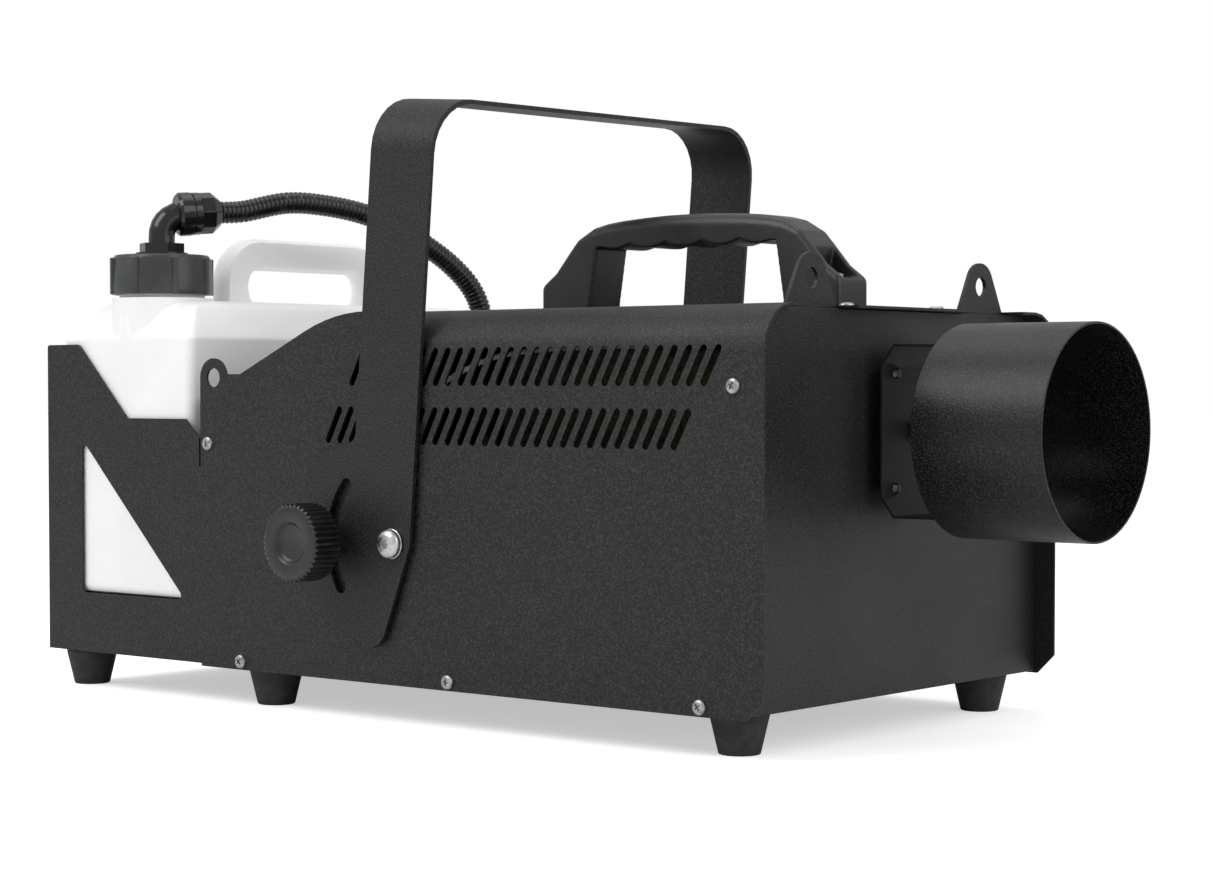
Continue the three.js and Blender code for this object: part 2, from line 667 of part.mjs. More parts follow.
function cover() {
  const bend = TOP_BEND - SHEET;
  const section = outline([
    [-HALF, LOW], [-HALF, TOP, TOP_BEND], [HALF, TOP, TOP_BEND], [HALF, LOW],
    [INNER, LOW], [INNER, TOP - SHEET, bend], [-INNER, TOP - SHEET, bend], [-INNER, LOW],
  ]);
  const hood = alongX(section, -RAMP_START, 0);
  const sides = [alongY(coverSide(), -HALF, -INNER, 8), alongY(coverSide(), INNER, HALF, 8)];
  const across = [-HALF - OVERRUN, HALF + OVERRUN];
  const chamfer = outline([
    [-CORNER_CHAMFER, LOW], [-CORNER_CHAMFER, LOW - OVERRUN], [OVERRUN, LOW - OVERRUN],
    [OVERRUN, LOW + CORNER_CHAMFER], [0, LOW + CORNER_CHAMFER],
  ]);
  const notchHalf = EYE_BASE / 2 + GAP;
  const notchBack = FRONT_BACK + EYE_SHEET + 2 * GAP;
  const notches = [NEAR, FAR].map((side) => {
    const y = side * EYE_SPREAD;
    return box(-notchBack, OVERRUN, y - notchHalf, y + notchHalf, TOP - SHEET - OVERRUN, TOP + OVERRUN);
  });
  const hole = BOLT_SHANK + GAP;
  const bores = [0, SLOT_RADIUS].map((back) => alongY(circle(PIVOT.x - back, PIVOT.z, hole), ...across));
  return cut(join(hood, ...sides), ventCutter(), alongY(chamfer, ...across), ...bores, ...notches);
}

// Base tray: floor, low flanges inside the cover and the cradle's two wings.
function trayWing() {
  const high = LOW + WING_HEIGHT;
  const step = LOW + WING_STEP;
  const flange = TRAY_UNDER + TRAY_FLANGE;
  const slopeTop = -BODY_LENGTH + WING_TOP;
  const slit = -COVER_LENGTH - SLIT_WIDTH;
  const lap = -COVER_LENGTH + WING_LAP;
  const wing = outline([
    [-BODY_LENGTH, TRAY_UNDER], [-FRONT_BACK - GAP, TRAY_UNDER], [-FRONT_BACK - GAP, flange],
    [lap, flange], [lap, LOW + SLIT_BOTTOM], [slit, LOW + SLIT_BOTTOM],
    [slit, step - WING_CHAMFER_FALL], [-COVER_LENGTH - WING_STEP_END, step, WING_EDGE_ROUND],
    [slopeTop + WING_SLOPE, step], [slopeTop, high, WING_ROUND], [-BODY_LENGTH, high, WING_EDGE_ROUND],
  ]);
  const rear = -BODY_LENGTH + WINDOW_REAR;
  const bottom = LOW + WINDOW_BOTTOM;
  const corners = [[rear, bottom], [rear + WINDOW_SIDE, bottom], [rear, bottom + WINDOW_SIDE]];
  wing.holes.push(outline(corners.map((c) => [...c, WINDOW_CORNER]), new THREE.Path()));
  return wing;
}

function baseTray() {
  const floor = box(-REAR_FACE, -FRONT_BACK - GAP, -TRAY_HALF, TRAY_HALF, TRAY_UNDER, TRAY_FLOOR);
  const wings = [[-TRAY_HALF, SHEET - TRAY_HALF], [TRAY_HALF - SHEET, TRAY_HALF]];
  return join(floor, ...wings.map((sides) => alongY(trayWing(), ...sides)));
}

// Front plate with a turned-back flange along its top, and the two hanging eyes behind it.
function frontPlate() {
  const bend = TOP_BEND - SHEET - GAP;
  const face = outline([
    [-TRAY_HALF, TRAY_UNDER], [TRAY_HALF, TRAY_UNDER], [TRAY_HALF, ROOF, bend], [-TRAY_HALF, ROOF, bend],
  ]);
  face.holes.push(circle(0, DUCT_Z, NOZZLE_HEX + NOZZLE_CLEARANCE, new THREE.Path()));
  const plate = alongX(face, -FRONT_BACK, -FRONT_RECESS, 5);
  const reach = FRONT_BACK + LAP;
  const half = EYE_SPREAD - EYE_BASE / 2 - LAP / 2;
  return join(plate, box(-reach, -FRONT_RECESS, -half, half, ROOF - SHEET, ROOF));
}

function rigEye(side) {
  const top = TOP + EYE_RISE;
  const base = EYE_BASE / 2;
  const lean = Math.atan2(EYE_RISE, base - EYE_RADIUS);
  const shape = new THREE.Shape();
  shape.moveTo(-base, TOP - EYE_LENGTH);
  shape.lineTo(base, TOP - EYE_LENGTH);
  shape.lineTo(base, TOP);
  shape.absarc(0, top, EYE_RADIUS, Math.PI / 2 - lean, Math.PI / 2 + lean, false);
  shape.lineTo(-base, TOP);
  shape.holes.push(circle(0, top, EYE_HOLE / 2, new THREE.Path()));
  const front = -FRONT_BACK - GAP;
  return alongX(shape, front - EYE_SHEET, front).translate(0, side * EYE_SPREAD, 0);
}

// Bulkhead: the tank bay's front wall, the ledge and the ramp, in one folded sheet.
function bayWall() {
  const drop = SHEET + GAP;
  const path = [
    [-COVER_LENGTH, DECK], [-COVER_LENGTH, BAY_LEDGE], [-RAMP_END - BAY_STEP_RUN, BAY_LEDGE],
    ...rampPoints(drop).reverse(), [-RAMP_START + LAP, ROOF],
  ];
  const sheet = alongY(foldedSheet(path, -SHEET), -TRAY_HALF, TRAY_HALF);
  const clear = LOW + SLIT_BOTTOM + GAP;
  const lap = -COVER_LENGTH + WING_LAP + GAP;
  const reach = TRAY_HALF + OVERRUN;
  const back = -COVER_LENGTH - OVERRUN;
  const rooms = [NEAR, FAR].map((s) => sideBox(s, back, lap, BULKHEAD_HALF, reach, LOW, clear));
  const rear = [-COVER_LENGTH, -COVER_LENGTH + LAP];
  const tabs = [NEAR, FAR].map((s) => sideBox(s, ...rear, TRAY_HALF - SHEET, TRAY_HALF, clear, BAY_LEDGE));
  const bend = TOP_BEND - SHEET - GAP;
  const limit = outline([
    [-TRAY_HALF, LOW], [TRAY_HALF, LOW], [TRAY_HALF, ROOF, bend], [-TRAY_HALF, ROOF, bend],
  ]);
  const room = solid(alongX(limit, back, 0));
  const port = rod(GLAND_PORT + GAP, BAY_LEDGE - 2 * drop, LEDGE, 16).translate(-GLAND_BACK, GLAND_SIDE, 0);
  return cut(join(sheet, ...tabs), ...rooms, port).intersect(room);
}

// Rear panel of the cradle, with the openings of the controls and a foot turned in on the tray.
function rearPanel() {
  const top = LOW + WING_HEIGHT - 2 * SHEET;
  const face = rectangle(-BULKHEAD_HALF, DECK, BULKHEAD_HALF, top);
  const opening = (name, width, height) => {
    const y = controlY(name);
    const w = width / 2 - PLATE_LIP;
    const h = height / 2 - PLATE_LIP;
    face.holes.push(rectangle(y - w, CONTROL_Z - h, y + w, CONTROL_Z + h, 0, new THREE.Path()));
  };
  const bore = (y, radius) => face.holes.push(circle(y, CONTROL_Z, radius, new THREE.Path()));
  opening("inlet", INLET_WIDTH, INLET_HEIGHT);
  opening("power", SWITCH_WIDTH, SWITCH_HEIGHT);
  opening("display", DISPLAY_WIDTH, DISPLAY_HEIGHT);
  bore(controlY("dmxIn"), JACK_BORE + 2 * GAP);
  bore(controlY("dmxOut"), JACK_BORE + 2 * GAP);
  bore(controlY("fuse"), FUSE_BODY + GAP);
  for (let i = 0; i < BUTTON_COUNT; i++) bore(controlY("buttons") + i * BUTTON_PITCH, BUTTON_RADIUS + GAP);
  const panel = alongX(face, -REAR_FACE, BAY_REAR, 5);
  const foot = box(-REAR_FACE, BAY_REAR + LAP, -BULKHEAD_HALF, BULKHEAD_HALF, DECK, DECK + SHEET);
  return join(panel, foot);
}

// Shelf under the tank, on a rear leg and a turned-in foot at its front.
function tankShelf() {
  const front = -COVER_LENGTH - GAP;
  const leg = BAY_REAR + CONTROL_DEPTH + SHEET;
  const top = TANK_BOTTOM - GAP;
  const path = [[BAY_REAR + GAP, top], [front, top], [front, DECK], [front - SHELF_FOOT, DECK]];
  const sheet = alongY(foldedSheet(path, -SHEET), -BULKHEAD_HALF, BULKHEAD_HALF);
  return join(sheet, box(leg, leg + SHEET, -BULKHEAD_HALF, BULKHEAD_HALF, DECK, top - SHEET / 2));
}

// Duct, its bracket and the stand-offs that hold the bracket off the hot front.
function ductTube() {
  const inner = DUCT_RADIUS - DUCT_WALL;
  return toX(ring(inner, DUCT_RADIUS, 0, DUCT_LENGTH, 64)).translate(DUCT_REACH - DUCT_LENGTH, 0, DUCT_Z);
}

const faceBore = (radius, y, z) =>
  toX(rod(radius, 0, 2 * BRACKET_STAND, 12)).translate(BRACKET_FACE - BRACKET_STAND, y, z);

function standPlaces() {
  const rise = BRACKET_BASE - STAND_INSET;
  return [[-1, 1], [1, 1], [-1, -1], [1, -1]].map(([a, b]) => [a * STAND_SPREAD, DUCT_Z + b * rise]);
}

function ductBracket() {
  const inner = DUCT_RADIUS - DUCT_WALL - GAP;
  const half = Math.sqrt(inner ** 2 - BRACKET_ARM ** 2);
  const tip = DUCT_REACH - DUCT_LENGTH + BRACKET_GRIP;
  const back = BRACKET_FACE - BRACKET_SHEET;
  const fold = BRACKET_FACE + BRACKET_FLARE;
  const path = [
    [tip, DUCT_Z + BRACKET_ARM], [fold, DUCT_Z + BRACKET_ARM], [back, DUCT_Z + BRACKET_BASE],
    [back, DUCT_Z - BRACKET_BASE], [fold, DUCT_Z - BRACKET_ARM], [tip, DUCT_Z - BRACKET_ARM],
  ];
  const sheet = alongY(foldedSheet(path, BRACKET_SHEET), -half, half);
  const bores = standPlaces().map(([y, z]) => faceBore(STAND_NECK + GAP, y, z));
  return cut(sheet, faceBore(NOZZLE_HEX + NOZZLE_CLEARANCE, 0, DUCT_Z), ...bores);
}

function standOff([y, z]) {
  const start = -FRONT_RECESS + GAP;
  const seat = BRACKET_FACE - BRACKET_SHEET - GAP;
  const head = BRACKET_FACE + GAP;
  return toX(turned([
    [0, start], [STAND_RADIUS, start], [STAND_RADIUS, seat], [STAND_NECK, seat], [STAND_NECK, head],
    [STAND_RADIUS, head], [STAND_CROWN, head + STAND_RIM], [0, head + STAND_RISE],
  ], 8)).translate(0, y, z);
}

function nozzle() {
  const rear = -HEATER_FRONT + GAP;
  const body = turned([
    [NOZZLE_BORE, rear], [NOZZLE_FLANGE, rear], [NOZZLE_FLANGE, rear + NOZZLE_PIPE],
    [NOZZLE_PIPE, rear + NOZZLE_PIPE], [NOZZLE_PIPE, NOZZLE_REACH - NOZZLE_PIPE], [NOZZLE_TIP, NOZZLE_REACH],
    [NOZZLE_BORE, NOZZLE_REACH], [NOZZLE_BORE, rear],
  ], 12);
  const hex = ring(NOZZLE_TIP, NOZZLE_HEX, -FRONT_RECESS, NOZZLE_HEX_HEIGHT - FRONT_RECESS, 6);
  return geometryOf(join(toX(body), toX(hex))).translate(0, 0, DUCT_Z);
}

// Heater block, its insulation and stand, the pump and their tubes
function heaterBlock() {
  const half = HEATER_SIDE / 2;
  const section = rectangle(-half, DUCT_Z - half, half, DUCT_Z + half, HEATER_ROUND);
  return alongX(section, HEATER_REAR, -HEATER_FRONT);
}

function heaterBlanket() {
  const inner = HEATER_SIDE / 2 + GAP;
  const outer = BLANKET_HALF;
  const shape = rectangle(-outer, DUCT_Z - outer, outer, DUCT_Z + outer, BLANKET_ROUND);
  shape.holes.push(rectangle(-inner, DUCT_Z - inner, inner, DUCT_Z + inner, HEATER_ROUND, new THREE.Path()));
  return alongX(shape, HEATER_MIDDLE - BLANKET_LENGTH / 2, HEATER_MIDDLE + BLANKET_LENGTH / 2);
}

function heaterStand() {
  const top = DUCT_Z - BLANKET_HALF - GAP - SHEET;
  const half = BLANKET_HALF - HEATER_STAND_INSET;
  const foot = half + HEATER_STAND_FOOT;
  const path = [[-foot, DECK], [-half, DECK], [-half, top], [half, top], [half, DECK], [foot, DECK]];
  const reach = (HEATER_STAND_SHARE * HEATER_LENGTH) / 2;
  return alongX(foldedSheet(path, SHEET), HEATER_MIDDLE - reach, HEATER_MIDDLE + reach);
}

function pump() {
  const reach = PUMP_LENGTH / 2;
  const body = toX(rod(PUMP_RADIUS, -reach, reach, 16)).translate(0, 0, PUMP_Z);
  const far = reach + PUMP_SPIGOT;
  const ends = toX(rod(TUBE_RADIUS + SHEET, -far, far, 12)).translate(0, 0, PUMP_Z);
  const half = PUMP_SADDLE / 2;
  const saddle = box(-half, half, -PUMP_SADDLE_HALF, PUMP_SADDLE_HALF, DECK, DECK + PUMP_SADDLE_HEIGHT);
  return geometryOf(join(body, ends, saddle)).translate(PUMP_X, GLAND_SIDE, 0);
}

function feedTube() {
  const end = PUMP_X - PUMP_LENGTH / 2 - PUMP_SPIGOT - GAP;
  const start = BAY_LEDGE - GLAND_TAIL - GAP;
  const spread = end + GLAND_BACK;
  return tube([
    new THREE.Vector3(-GLAND_BACK, GLAND_SIDE, start),
    new THREE.Vector3(-GLAND_BACK, GLAND_SIDE, start - GLAND_TAIL),
    new THREE.Vector3(-GLAND_BACK, GLAND_SIDE, (start + PUMP_Z) / 2),
    new THREE.Vector3(-GLAND_BACK + spread * FEED_TURN_SHARE, GLAND_SIDE, PUMP_Z + spread),
    new THREE.Vector3(end - spread * FEED_LEAD_SHARE, GLAND_SIDE, PUMP_Z),
    new THREE.Vector3(end, GLAND_SIDE, PUMP_Z),
  ], TUBE_RADIUS, 14);
}

function heaterTube() {
  const start = PUMP_X + PUMP_LENGTH / 2 + PUMP_SPIGOT + GAP;
  const end = HEATER_REAR - GAP;
  const lead = PUMP_SPIGOT;
  return tube([
    new THREE.Vector3(start, GLAND_SIDE, PUMP_Z),
    new THREE.Vector3(start + lead, GLAND_SIDE, PUMP_Z),
    new THREE.Vector3(start + lead, GLAND_SIDE, PUMP_Z + 3 * lead),
    new THREE.Vector3(end - 3 * lead, GLAND_SIDE / 2, DUCT_Z - lead),
    new THREE.Vector3(end - 2 * lead, 0, DUCT_Z),
    new THREE.Vector3(end, 0, DUCT_Z),
  ], HEATER_TUBE_RADIUS, 16);
}

function controlBoard() {
  const x1 = BOARD_X + BOARD_LENGTH;
  const board = box(BOARD_X, x1, BOARD_Y, BOARD_Y + SHEET, DECK, DECK + BOARD_HEIGHT);
  const foot = box(BOARD_X, x1, BOARD_Y, BOARD_Y + CHOKE_SIDE / 2, DECK, DECK + SHEET);
  const near = BOARD_X + CHOKE_SIDE / 2;
  const low = DECK + CHOKE_SIDE / 2;
  const choke = box(near, near + CHOKE_SIDE, BOARD_Y, BOARD_Y + CHOKE_SIDE, low, low + CHOKE_SIDE);
  return join(board, foot, choke);
}

// White lead that rises from the board and crosses over the blanket.
function heaterWire() {
  const x = BOARD_X + WIRE_START_SHARE * BOARD_LENGTH;
  const y = BOARD_Y + SHEET / 2;
  const base = DECK + BOARD_HEIGHT + GAP;
  const top = DUCT_Z + BLANKET_HALF + GAP + WIRE_RADIUS;
  const lead = WIRE_LIFT;
  return tube([
    new THREE.Vector3(x, y, base),
    new THREE.Vector3(x, y, base + lead),
    new THREE.Vector3(x + lead, y - WIRE_BOW, base + 3 * lead),
    new THREE.Vector3(x + 5 * lead, y - WIRE_BOW, top - lead / 2),
    new THREE.Vector3(x + 7 * lead, -BLANKET_HALF, top),
    new THREE.Vector3(x + 8 * lead, -BLANKET_HALF / 2, top),
  ], WIRE_RADIUS, 18);
}

// Handle: a moulded grip with finger scallops and an open pocket at each end.
function handle() {
  const half = HANDLE_HALF;
  const top = HANDLE_HEIGHT;
  const right = [[half, 0], [half, HANDLE_BLOCK, HANDLE_ROUND]];
  for (const [a, b] of HANDLE_OUTLINE_SHARES) right.push([a * half, b * top, HANDLE_ROUND]);
  const left = right.map(([x, z, r]) => [-x, z, r]).reverse();
  const body = alongY(outline([...right, ...left]), -HANDLE_WIDTH / 2, HANDLE_WIDTH / 2, 3, HANDLE_EDGE);
  const reach = half * HANDLE_WINDOW_TOP_SHARE;
  const foot = half * HANDLE_WINDOW_FOOT_SHARE;
  const under = top - HANDLE_GRIP;
  const window = [[foot, -OVERRUN], [reach, under]];
  const steps = FINGER_COUNT * FINGER_STEPS;
  for (let i = 1; i < steps; i++) {
    const share = i / steps;
    const lift = 1 - Math.abs(Math.sin(Math.PI * FINGER_COUNT * share));
    window.push([reach * (1 - 2 * share), under + FINGER_DEPTH * lift - FINGER_DEPTH / 2]);
  }
  window.push([-reach, under], [-foot, -OVERRUN]);
  const grip = alongY(outline(window), -HANDLE_WIDTH, HANDLE_WIDTH);
  const web = HANDLE_WIDTH / 2 - HANDLE_WEB;
  const roof = POCKET_TOP_SHARE * top;
  const pockets = [-1, 1].map((way) => {
    const outer = way * (half + OVERRUN);
    return alongY(outline([
      [way * half * POCKET_FLOOR_SHARE, HANDLE_BLOCK], [outer, HANDLE_BLOCK],
      [outer, roof], [way * half * POCKET_ROOF_SHARE, roof],
    ]), -web, web);
  });
  return geometryOf(cut(body, grip, ...pockets)).translate(-HANDLE_PLACE_SHARE * COVER_LENGTH, 0, TOP + GAP);
}

function handleScrew(way) {
  const place = -HANDLE_PLACE_SHARE * COVER_LENGTH + way * HANDLE_SCREW_SHARE * HANDLE_HALF;
  return panHead().translate(place, 0, TOP + GAP + HANDLE_BLOCK + GAP + SHEET / 2);
}

// Yoke: a flat strap bent over the machine, each arm ending in a fan with an arc slot.
function slotShape() {
  const slot = new THREE.Shape();
  const outer = SLOT_RADIUS + SLOT_WIDTH / 2;
  const low = Math.PI - SLOT_HALF_ANGLE;
  const high = Math.PI + SLOT_HALF_ANGLE;
  const end = (angle) => [SLOT_RADIUS * Math.cos(angle), SLOT_RADIUS * Math.sin(angle)];
  slot.absarc(0, 0, outer, low, high, false);
  slot.absarc(...end(high), SLOT_WIDTH / 2, high, high + Math.PI, false);
  slot.absarc(0, 0, outer - SLOT_WIDTH, high, low, true);
  slot.absarc(...end(low), SLOT_WIDTH / 2, low - Math.PI, low, false);
  return slot;
}

function yoke() {
  const armTop = YOKE_TOP - YOKE_SLANT - YOKE_BEND;
  const arm = outline([
    [YOKE_FRONT, armTop], [YOKE_FRONT, 0, FAN_CORNER], [-FAN_CORNER / 2, -FAN_DROP, FAN_CORNER],
    [-FAN_REACH, FAN_FALL - FAN_SHOULDER, FAN_CORNER], [-FAN_REACH, FAN_SHOULDER - FAN_FALL, FAN_CORNER],
    [-YOKE_REAR, FAN_SHOULDER, FAN_CORNER / 2], [-YOKE_REAR, armTop],
  ]);
  const inner = ARM_OUTER - YOKE_SHEET;
  const plates = [alongY(arm, -ARM_OUTER, -inner), alongY(arm, inner, ARM_OUTER)];
  const [low, high] = [YOKE_TOP - YOKE_SLANT, YOKE_TOP + YOKE_SLANT];
  const foot = armTop - YOKE_SHEET;
  const bend = YOKE_BEND - YOKE_SHEET;
  const arch = outline([
    [-ARM_OUTER, foot], [-ARM_OUTER, low, YOKE_BEND], [ARM_OUTER, high, YOKE_BEND], [ARM_OUTER, foot],
    [inner, foot], [inner, high - YOKE_SHEET, bend], [-inner, low - YOKE_SHEET, bend], [-inner, foot],
  ]);
  const strap = alongX(arch, -YOKE_REAR, YOKE_FRONT);
  const across = [-ARM_OUTER - OVERRUN, ARM_OUTER + OVERRUN];
  const bore = alongY(circle(0, 0, BOLT_SHANK + GAP), ...across);
  return cut(join(...plates, strap), alongY(slotShape(), ...across, 5), bore);
}

// Knob with its moulded-in stud, made on +Z with the arm's outer face at z = 0.
function knob(side) {
  const back = KNOB_STAND;
  const front = back + KNOB_DEPTH;
  const rim = [];
  for (let i = 0; i < KNOB_RIBS * 2; i++) {
    const angle = (Math.PI * i) / KNOB_RIBS;
    const radius = KNOB_RADIUS - (i % 2 ? KNOB_RIB_DEPTH : 0);
    rim.push(new THREE.Vector2(radius * Math.cos(angle), radius * Math.sin(angle)));
  }
  const grip = alongZ(new THREE.Shape(rim), back, front);
  const boss = rod(KNOB_BOSS, WASHER_SHEET + GAP, back + SHEET, 16);
  const stud = rod(STUD_RADIUS, -YOKE_SHEET - YOKE_CLEARANCE - SHEET - SHANK_REACH, back, 10);
  const washer = rod(KNOB_BOSS + SHEET, GAP, WASHER_SHEET + GAP, 16);
  const floor = front - KNOB_DISH_DEPTH;
  const edge = KNOB_DISH + KNOB_DISH_DEPTH;
  const over = front + OVERRUN;
  const dish = turned([[0, floor], [KNOB_DISH, floor], [edge, front], [edge, over], [0, over]], 20);
  const whole = geometryOf(join(cut(grip, dish), boss, stud, washer));
  return toSide(whole, side).translate(0, side * ARM_OUTER, 0);
}

// Pivot bolt with a domed socket head and its washer, made like the knob.
function pivotBolt(side) {
  const seat = WASHER_SHEET + 2 * GAP;
  const top = seat + BOLT_RISE;
  const dome = BOLT_DOME_SHARES.map(([r, z]) => [r * BOLT_HEAD, seat + z * BOLT_RISE]);
  const washer = [[0, GAP], [BOLT_WASHER, GAP], [BOLT_WASHER, seat], [BOLT_HEAD, seat]];
  const head = turned([...washer, ...dome, [0, top]], 12);
  const socket = rod(BOLT_SOCKET, top - BOLT_SOCKET_DEPTH, top + OVERRUN, 6);
  const shank = rod(BOLT_SHANK, -YOKE_SHEET - YOKE_CLEARANCE - SHEET - SHANK_REACH, seat, 10);
  return toSide(geometryOf(cut(join(head, shank), socket)), side).translate(0, side * ARM_OUTER, 0);
}

function pivotSpacer(side) {
  const shape = ring(BOLT_SHANK + GAP, BOLT_WASHER, GAP, YOKE_CLEARANCE - GAP, 14);
  return toSide(shape, side).translate(0, side * HALF, 0);
}

// Tank: a moulded jug with sloping shoulders, a neck at one end and a carrying loop.
function lofted(levels, halfX, halfY, corner, steps = 3) {
  const positions = [];
  const index = [];
  const count = 4 * (steps + 1);
  for (const [z, inset] of levels) {
    for (let q = 0; q < 4; q++) {
      const cx = (q === 0 || q === 3 ? 1 : -1) * (halfX - inset - corner);
      const cy = (q < 2 ? 1 : -1) * (halfY - inset - corner);
      for (let k = 0; k <= steps; k++) {
        const angle = ((q + k / steps) * Math.PI) / 2;
        positions.push(cx + corner * Math.cos(angle), cy + corner * Math.sin(angle), z);
      }
    }
  }
  for (let j = 0; j + 1 < levels.length; j++) {
    for (let i = 0; i < count; i++) {
      const a = j * count + i;
      const b = j * count + ((i + 1) % count);
      index.push(a, b, b + count, a, b + count, a + count);
    }
  }
  const last = (levels.length - 1) * count;
  for (let i = 1; i + 1 < count; i++) index.push(0, i + 1, i, last, last + i, last + i + 1);
  const geometry = new THREE.BufferGeometry();
  geometry.setAttribute("position", new THREE.Float32BufferAttribute(positions, 3));
  geometry.setIndex(index);
  return geometry;
}

// The jug's form, or the hollow in it when it is made a wall thickness smaller.
function jugForm(wall) {
  const bottom = TANK_BOTTOM + wall;
  const top = TANK_TOP - wall;
  const levels = TANK_FOOT_SHARES.map(([up, into]) => [bottom + up * TANK_FOOT, into * TANK_FOOT]);
  for (const [down, into] of TANK_SHOULDER_SHARES) {
    levels.push([top - down * TANK_SLOPE_DROP, into * TANK_SLOPE_INSET]);
  }
  return lofted(levels, TANK_DEPTH / 2 - wall, TANK_HALF - wall, TANK_CORNER - wall).translate(TANK_X, 0, 0);
}

function tankJug() {
  const neck = (radius, z0, z1) => rod(radius, z0, z1, 24).translate(-NECK_BACK, -NECK_SIDE, 0);
  const bossTop = LOW + BOSS_TOP;
  const bossBottom = bossTop - BOSS_LENGTH;
  const boss = neck(BOSS_RADIUS, bossBottom, bossTop);
  const spout = neck(NECK_RADIUS, bossTop - SHEET, NECK_TOP);
  const bore = neck(NECK_RADIUS - TANK_WALL, bossTop - 2 * TANK_WALL, NECK_TOP + OVERRUN);
  const bossBore = neck(BOSS_RADIUS - TANK_WALL, bossBottom + TANK_WALL, bossTop - TANK_WALL);
  const loopTop = LOW + LOOP_TOP;
  const foot = TANK_TOP - LOOP_BAR;
  const loop = outline([
    [-LOOP_NEAR, foot], [LOOP_FAR, foot], [LOOP_FAR, loopTop, LOOP_CORNER], [-LOOP_NEAR, loopTop, LOOP_CORNER],
  ]);
  const [near, far] = [-LOOP_NEAR + LOOP_BAR, LOOP_FAR - LOOP_BAR];
  const [floor, roof] = [TANK_TOP - LOOP_WINDOW_FLOOR, loopTop - LOOP_BAR];
  loop.holes.push(rectangle(near, floor, far, roof, LOOP_WINDOW_CORNER, new THREE.Path()));
  const bar = alongX(loop, TANK_X - LOOP_BAR / 2, TANK_X + LOOP_BAR / 2, 5, LOOP_ROUND);
  return cut(join(jugForm(0), boss, spout, bar), jugForm(TANK_WALL), bossBore, bore);
}

function cap() {
  const inner = NECK_RADIUS + GAP;
  const hole = ELBOW_RADIUS + GAP;
  const brow = CAP_TOP - CAP_LIP_RISE;
  const body = turned([
    [hole, CAP_UNDER], [inner, CAP_UNDER], [inner, CAP_BOTTOM], [CAP_RADIUS - CAP_LIP, CAP_BOTTOM],
    [CAP_RADIUS, CAP_BOTTOM + CAP_LIP_RISE], [CAP_RADIUS - CAP_DRAFT, brow], [CAP_RADIUS - CAP_ROUND, CAP_TOP],
    [hole, CAP_TOP], [hole, CAP_UNDER],
  ], 28);
  const ribs = [];
  const [root, crest, half] = [CAP_RADIUS - CAP_RIB_ROOT, CAP_RADIUS + CAP_RIB_RISE, CAP_RIB / 2];
  for (let i = 0; i < CAP_RIBS; i++) {
    const rib = box(root, crest, -half, half, CAP_BOTTOM, CAP_TOP - CAP_RIB_STOP);
    ribs.push(rib.rotateZ((2 * Math.PI * (i + CAP_RIB_TURN_SHARE)) / CAP_RIBS));
  }
  return geometryOf(join(body, ...ribs)).translate(-NECK_BACK, -NECK_SIDE, 0);
}

function capSeal() {
  const bottom = NECK_TOP + GAP;
  const shape = ring(SEAL_HOLE, NECK_RADIUS - GAP, bottom, bottom + SEAL_SHEET, 24);
  return shape.translate(-NECK_BACK, -NECK_SIDE, 0);
}

// Places on the elbow's tilted branch, and from the plane of the hose's run to the machine.
const branch = (length) => [length * Math.cos(ELBOW_TILT), BRANCH_Z + length * Math.sin(ELBOW_TILT)];
const inRunPlane = ([s, z]) =>
  new THREE.Vector3(-NECK_BACK + s * Math.cos(HEADING), -NECK_SIDE + s * Math.sin(HEADING), z);
const toRunPlane = (geometry) => geometry.rotateZ(HEADING).translate(-NECK_BACK, -NECK_SIDE, 0);
const onBranch = (geometry) => toX(geometry).rotateY(-ELBOW_TILT).translate(0, 0, BRANCH_Z);

function hoseElbow() {
  const flange = CAP_TOP + GAP;
  const hex = flange + SHEET;
  const shoulder = hex + ELBOW_HEX_HEIGHT;
  const corner = BRANCH_Z - ELBOW_BEND;
  const [tip, tipZ] = branch(COLLAR_START + SHEET);
  const path = [new THREE.Vector3(0, 0, hex), new THREE.Vector3(0, 0, corner)];
  const steps = 6;
  for (let i = 1; i <= steps; i++) {
    const angle = (i / steps) * (Math.PI / 2 - ELBOW_TILT);
    const [x, z] = [ELBOW_BEND * (1 - Math.cos(angle)), corner + ELBOW_BEND * Math.sin(angle)];
    if (x < tip - SHEET) path.push(new THREE.Vector3(x, 0, z));
  }
  path.push(new THREE.Vector3(tip, 0, tipZ));
  const pipe = tube(path, ELBOW_RADIUS, 9, 12);
  const stem = rod(ELBOW_RADIUS - 2 * GAP, CAP_UNDER - LOCK_NUT - ELBOW_STEM, hex + SHEET, 12);
  const plate = rod(ELBOW_FLANGE, flange, hex, 24);
  const nut = rod(ELBOW_HEX / Math.cos(Math.PI / 6), hex - GAP, shoulder, 6);
  const end = COLLAR_START + COLLAR_LENGTH;
  const groove = COLLAR_START + COLLAR_GROOVE_SHARE * COLLAR_LENGTH;
  const collar = onBranch(turned([
    [0, COLLAR_START], [COLLAR_RADIUS - COLLAR_ROUND, COLLAR_START],
    [COLLAR_RADIUS, COLLAR_START + COLLAR_ROUND], [COLLAR_RADIUS, groove],
    [COLLAR_RADIUS - COLLAR_GROOVE, groove], [COLLAR_RADIUS - COLLAR_GROOVE, groove + COLLAR_GROOVE],
    [COLLAR_RADIUS - COLLAR_STEP, groove + COLLAR_GROOVE], [COLLAR_RADIUS - COLLAR_STEP, end], [0, end],
  ], 20));
  return toRunPlane(geometryOf(join(pipe, stem, plate, nut, collar)));
}

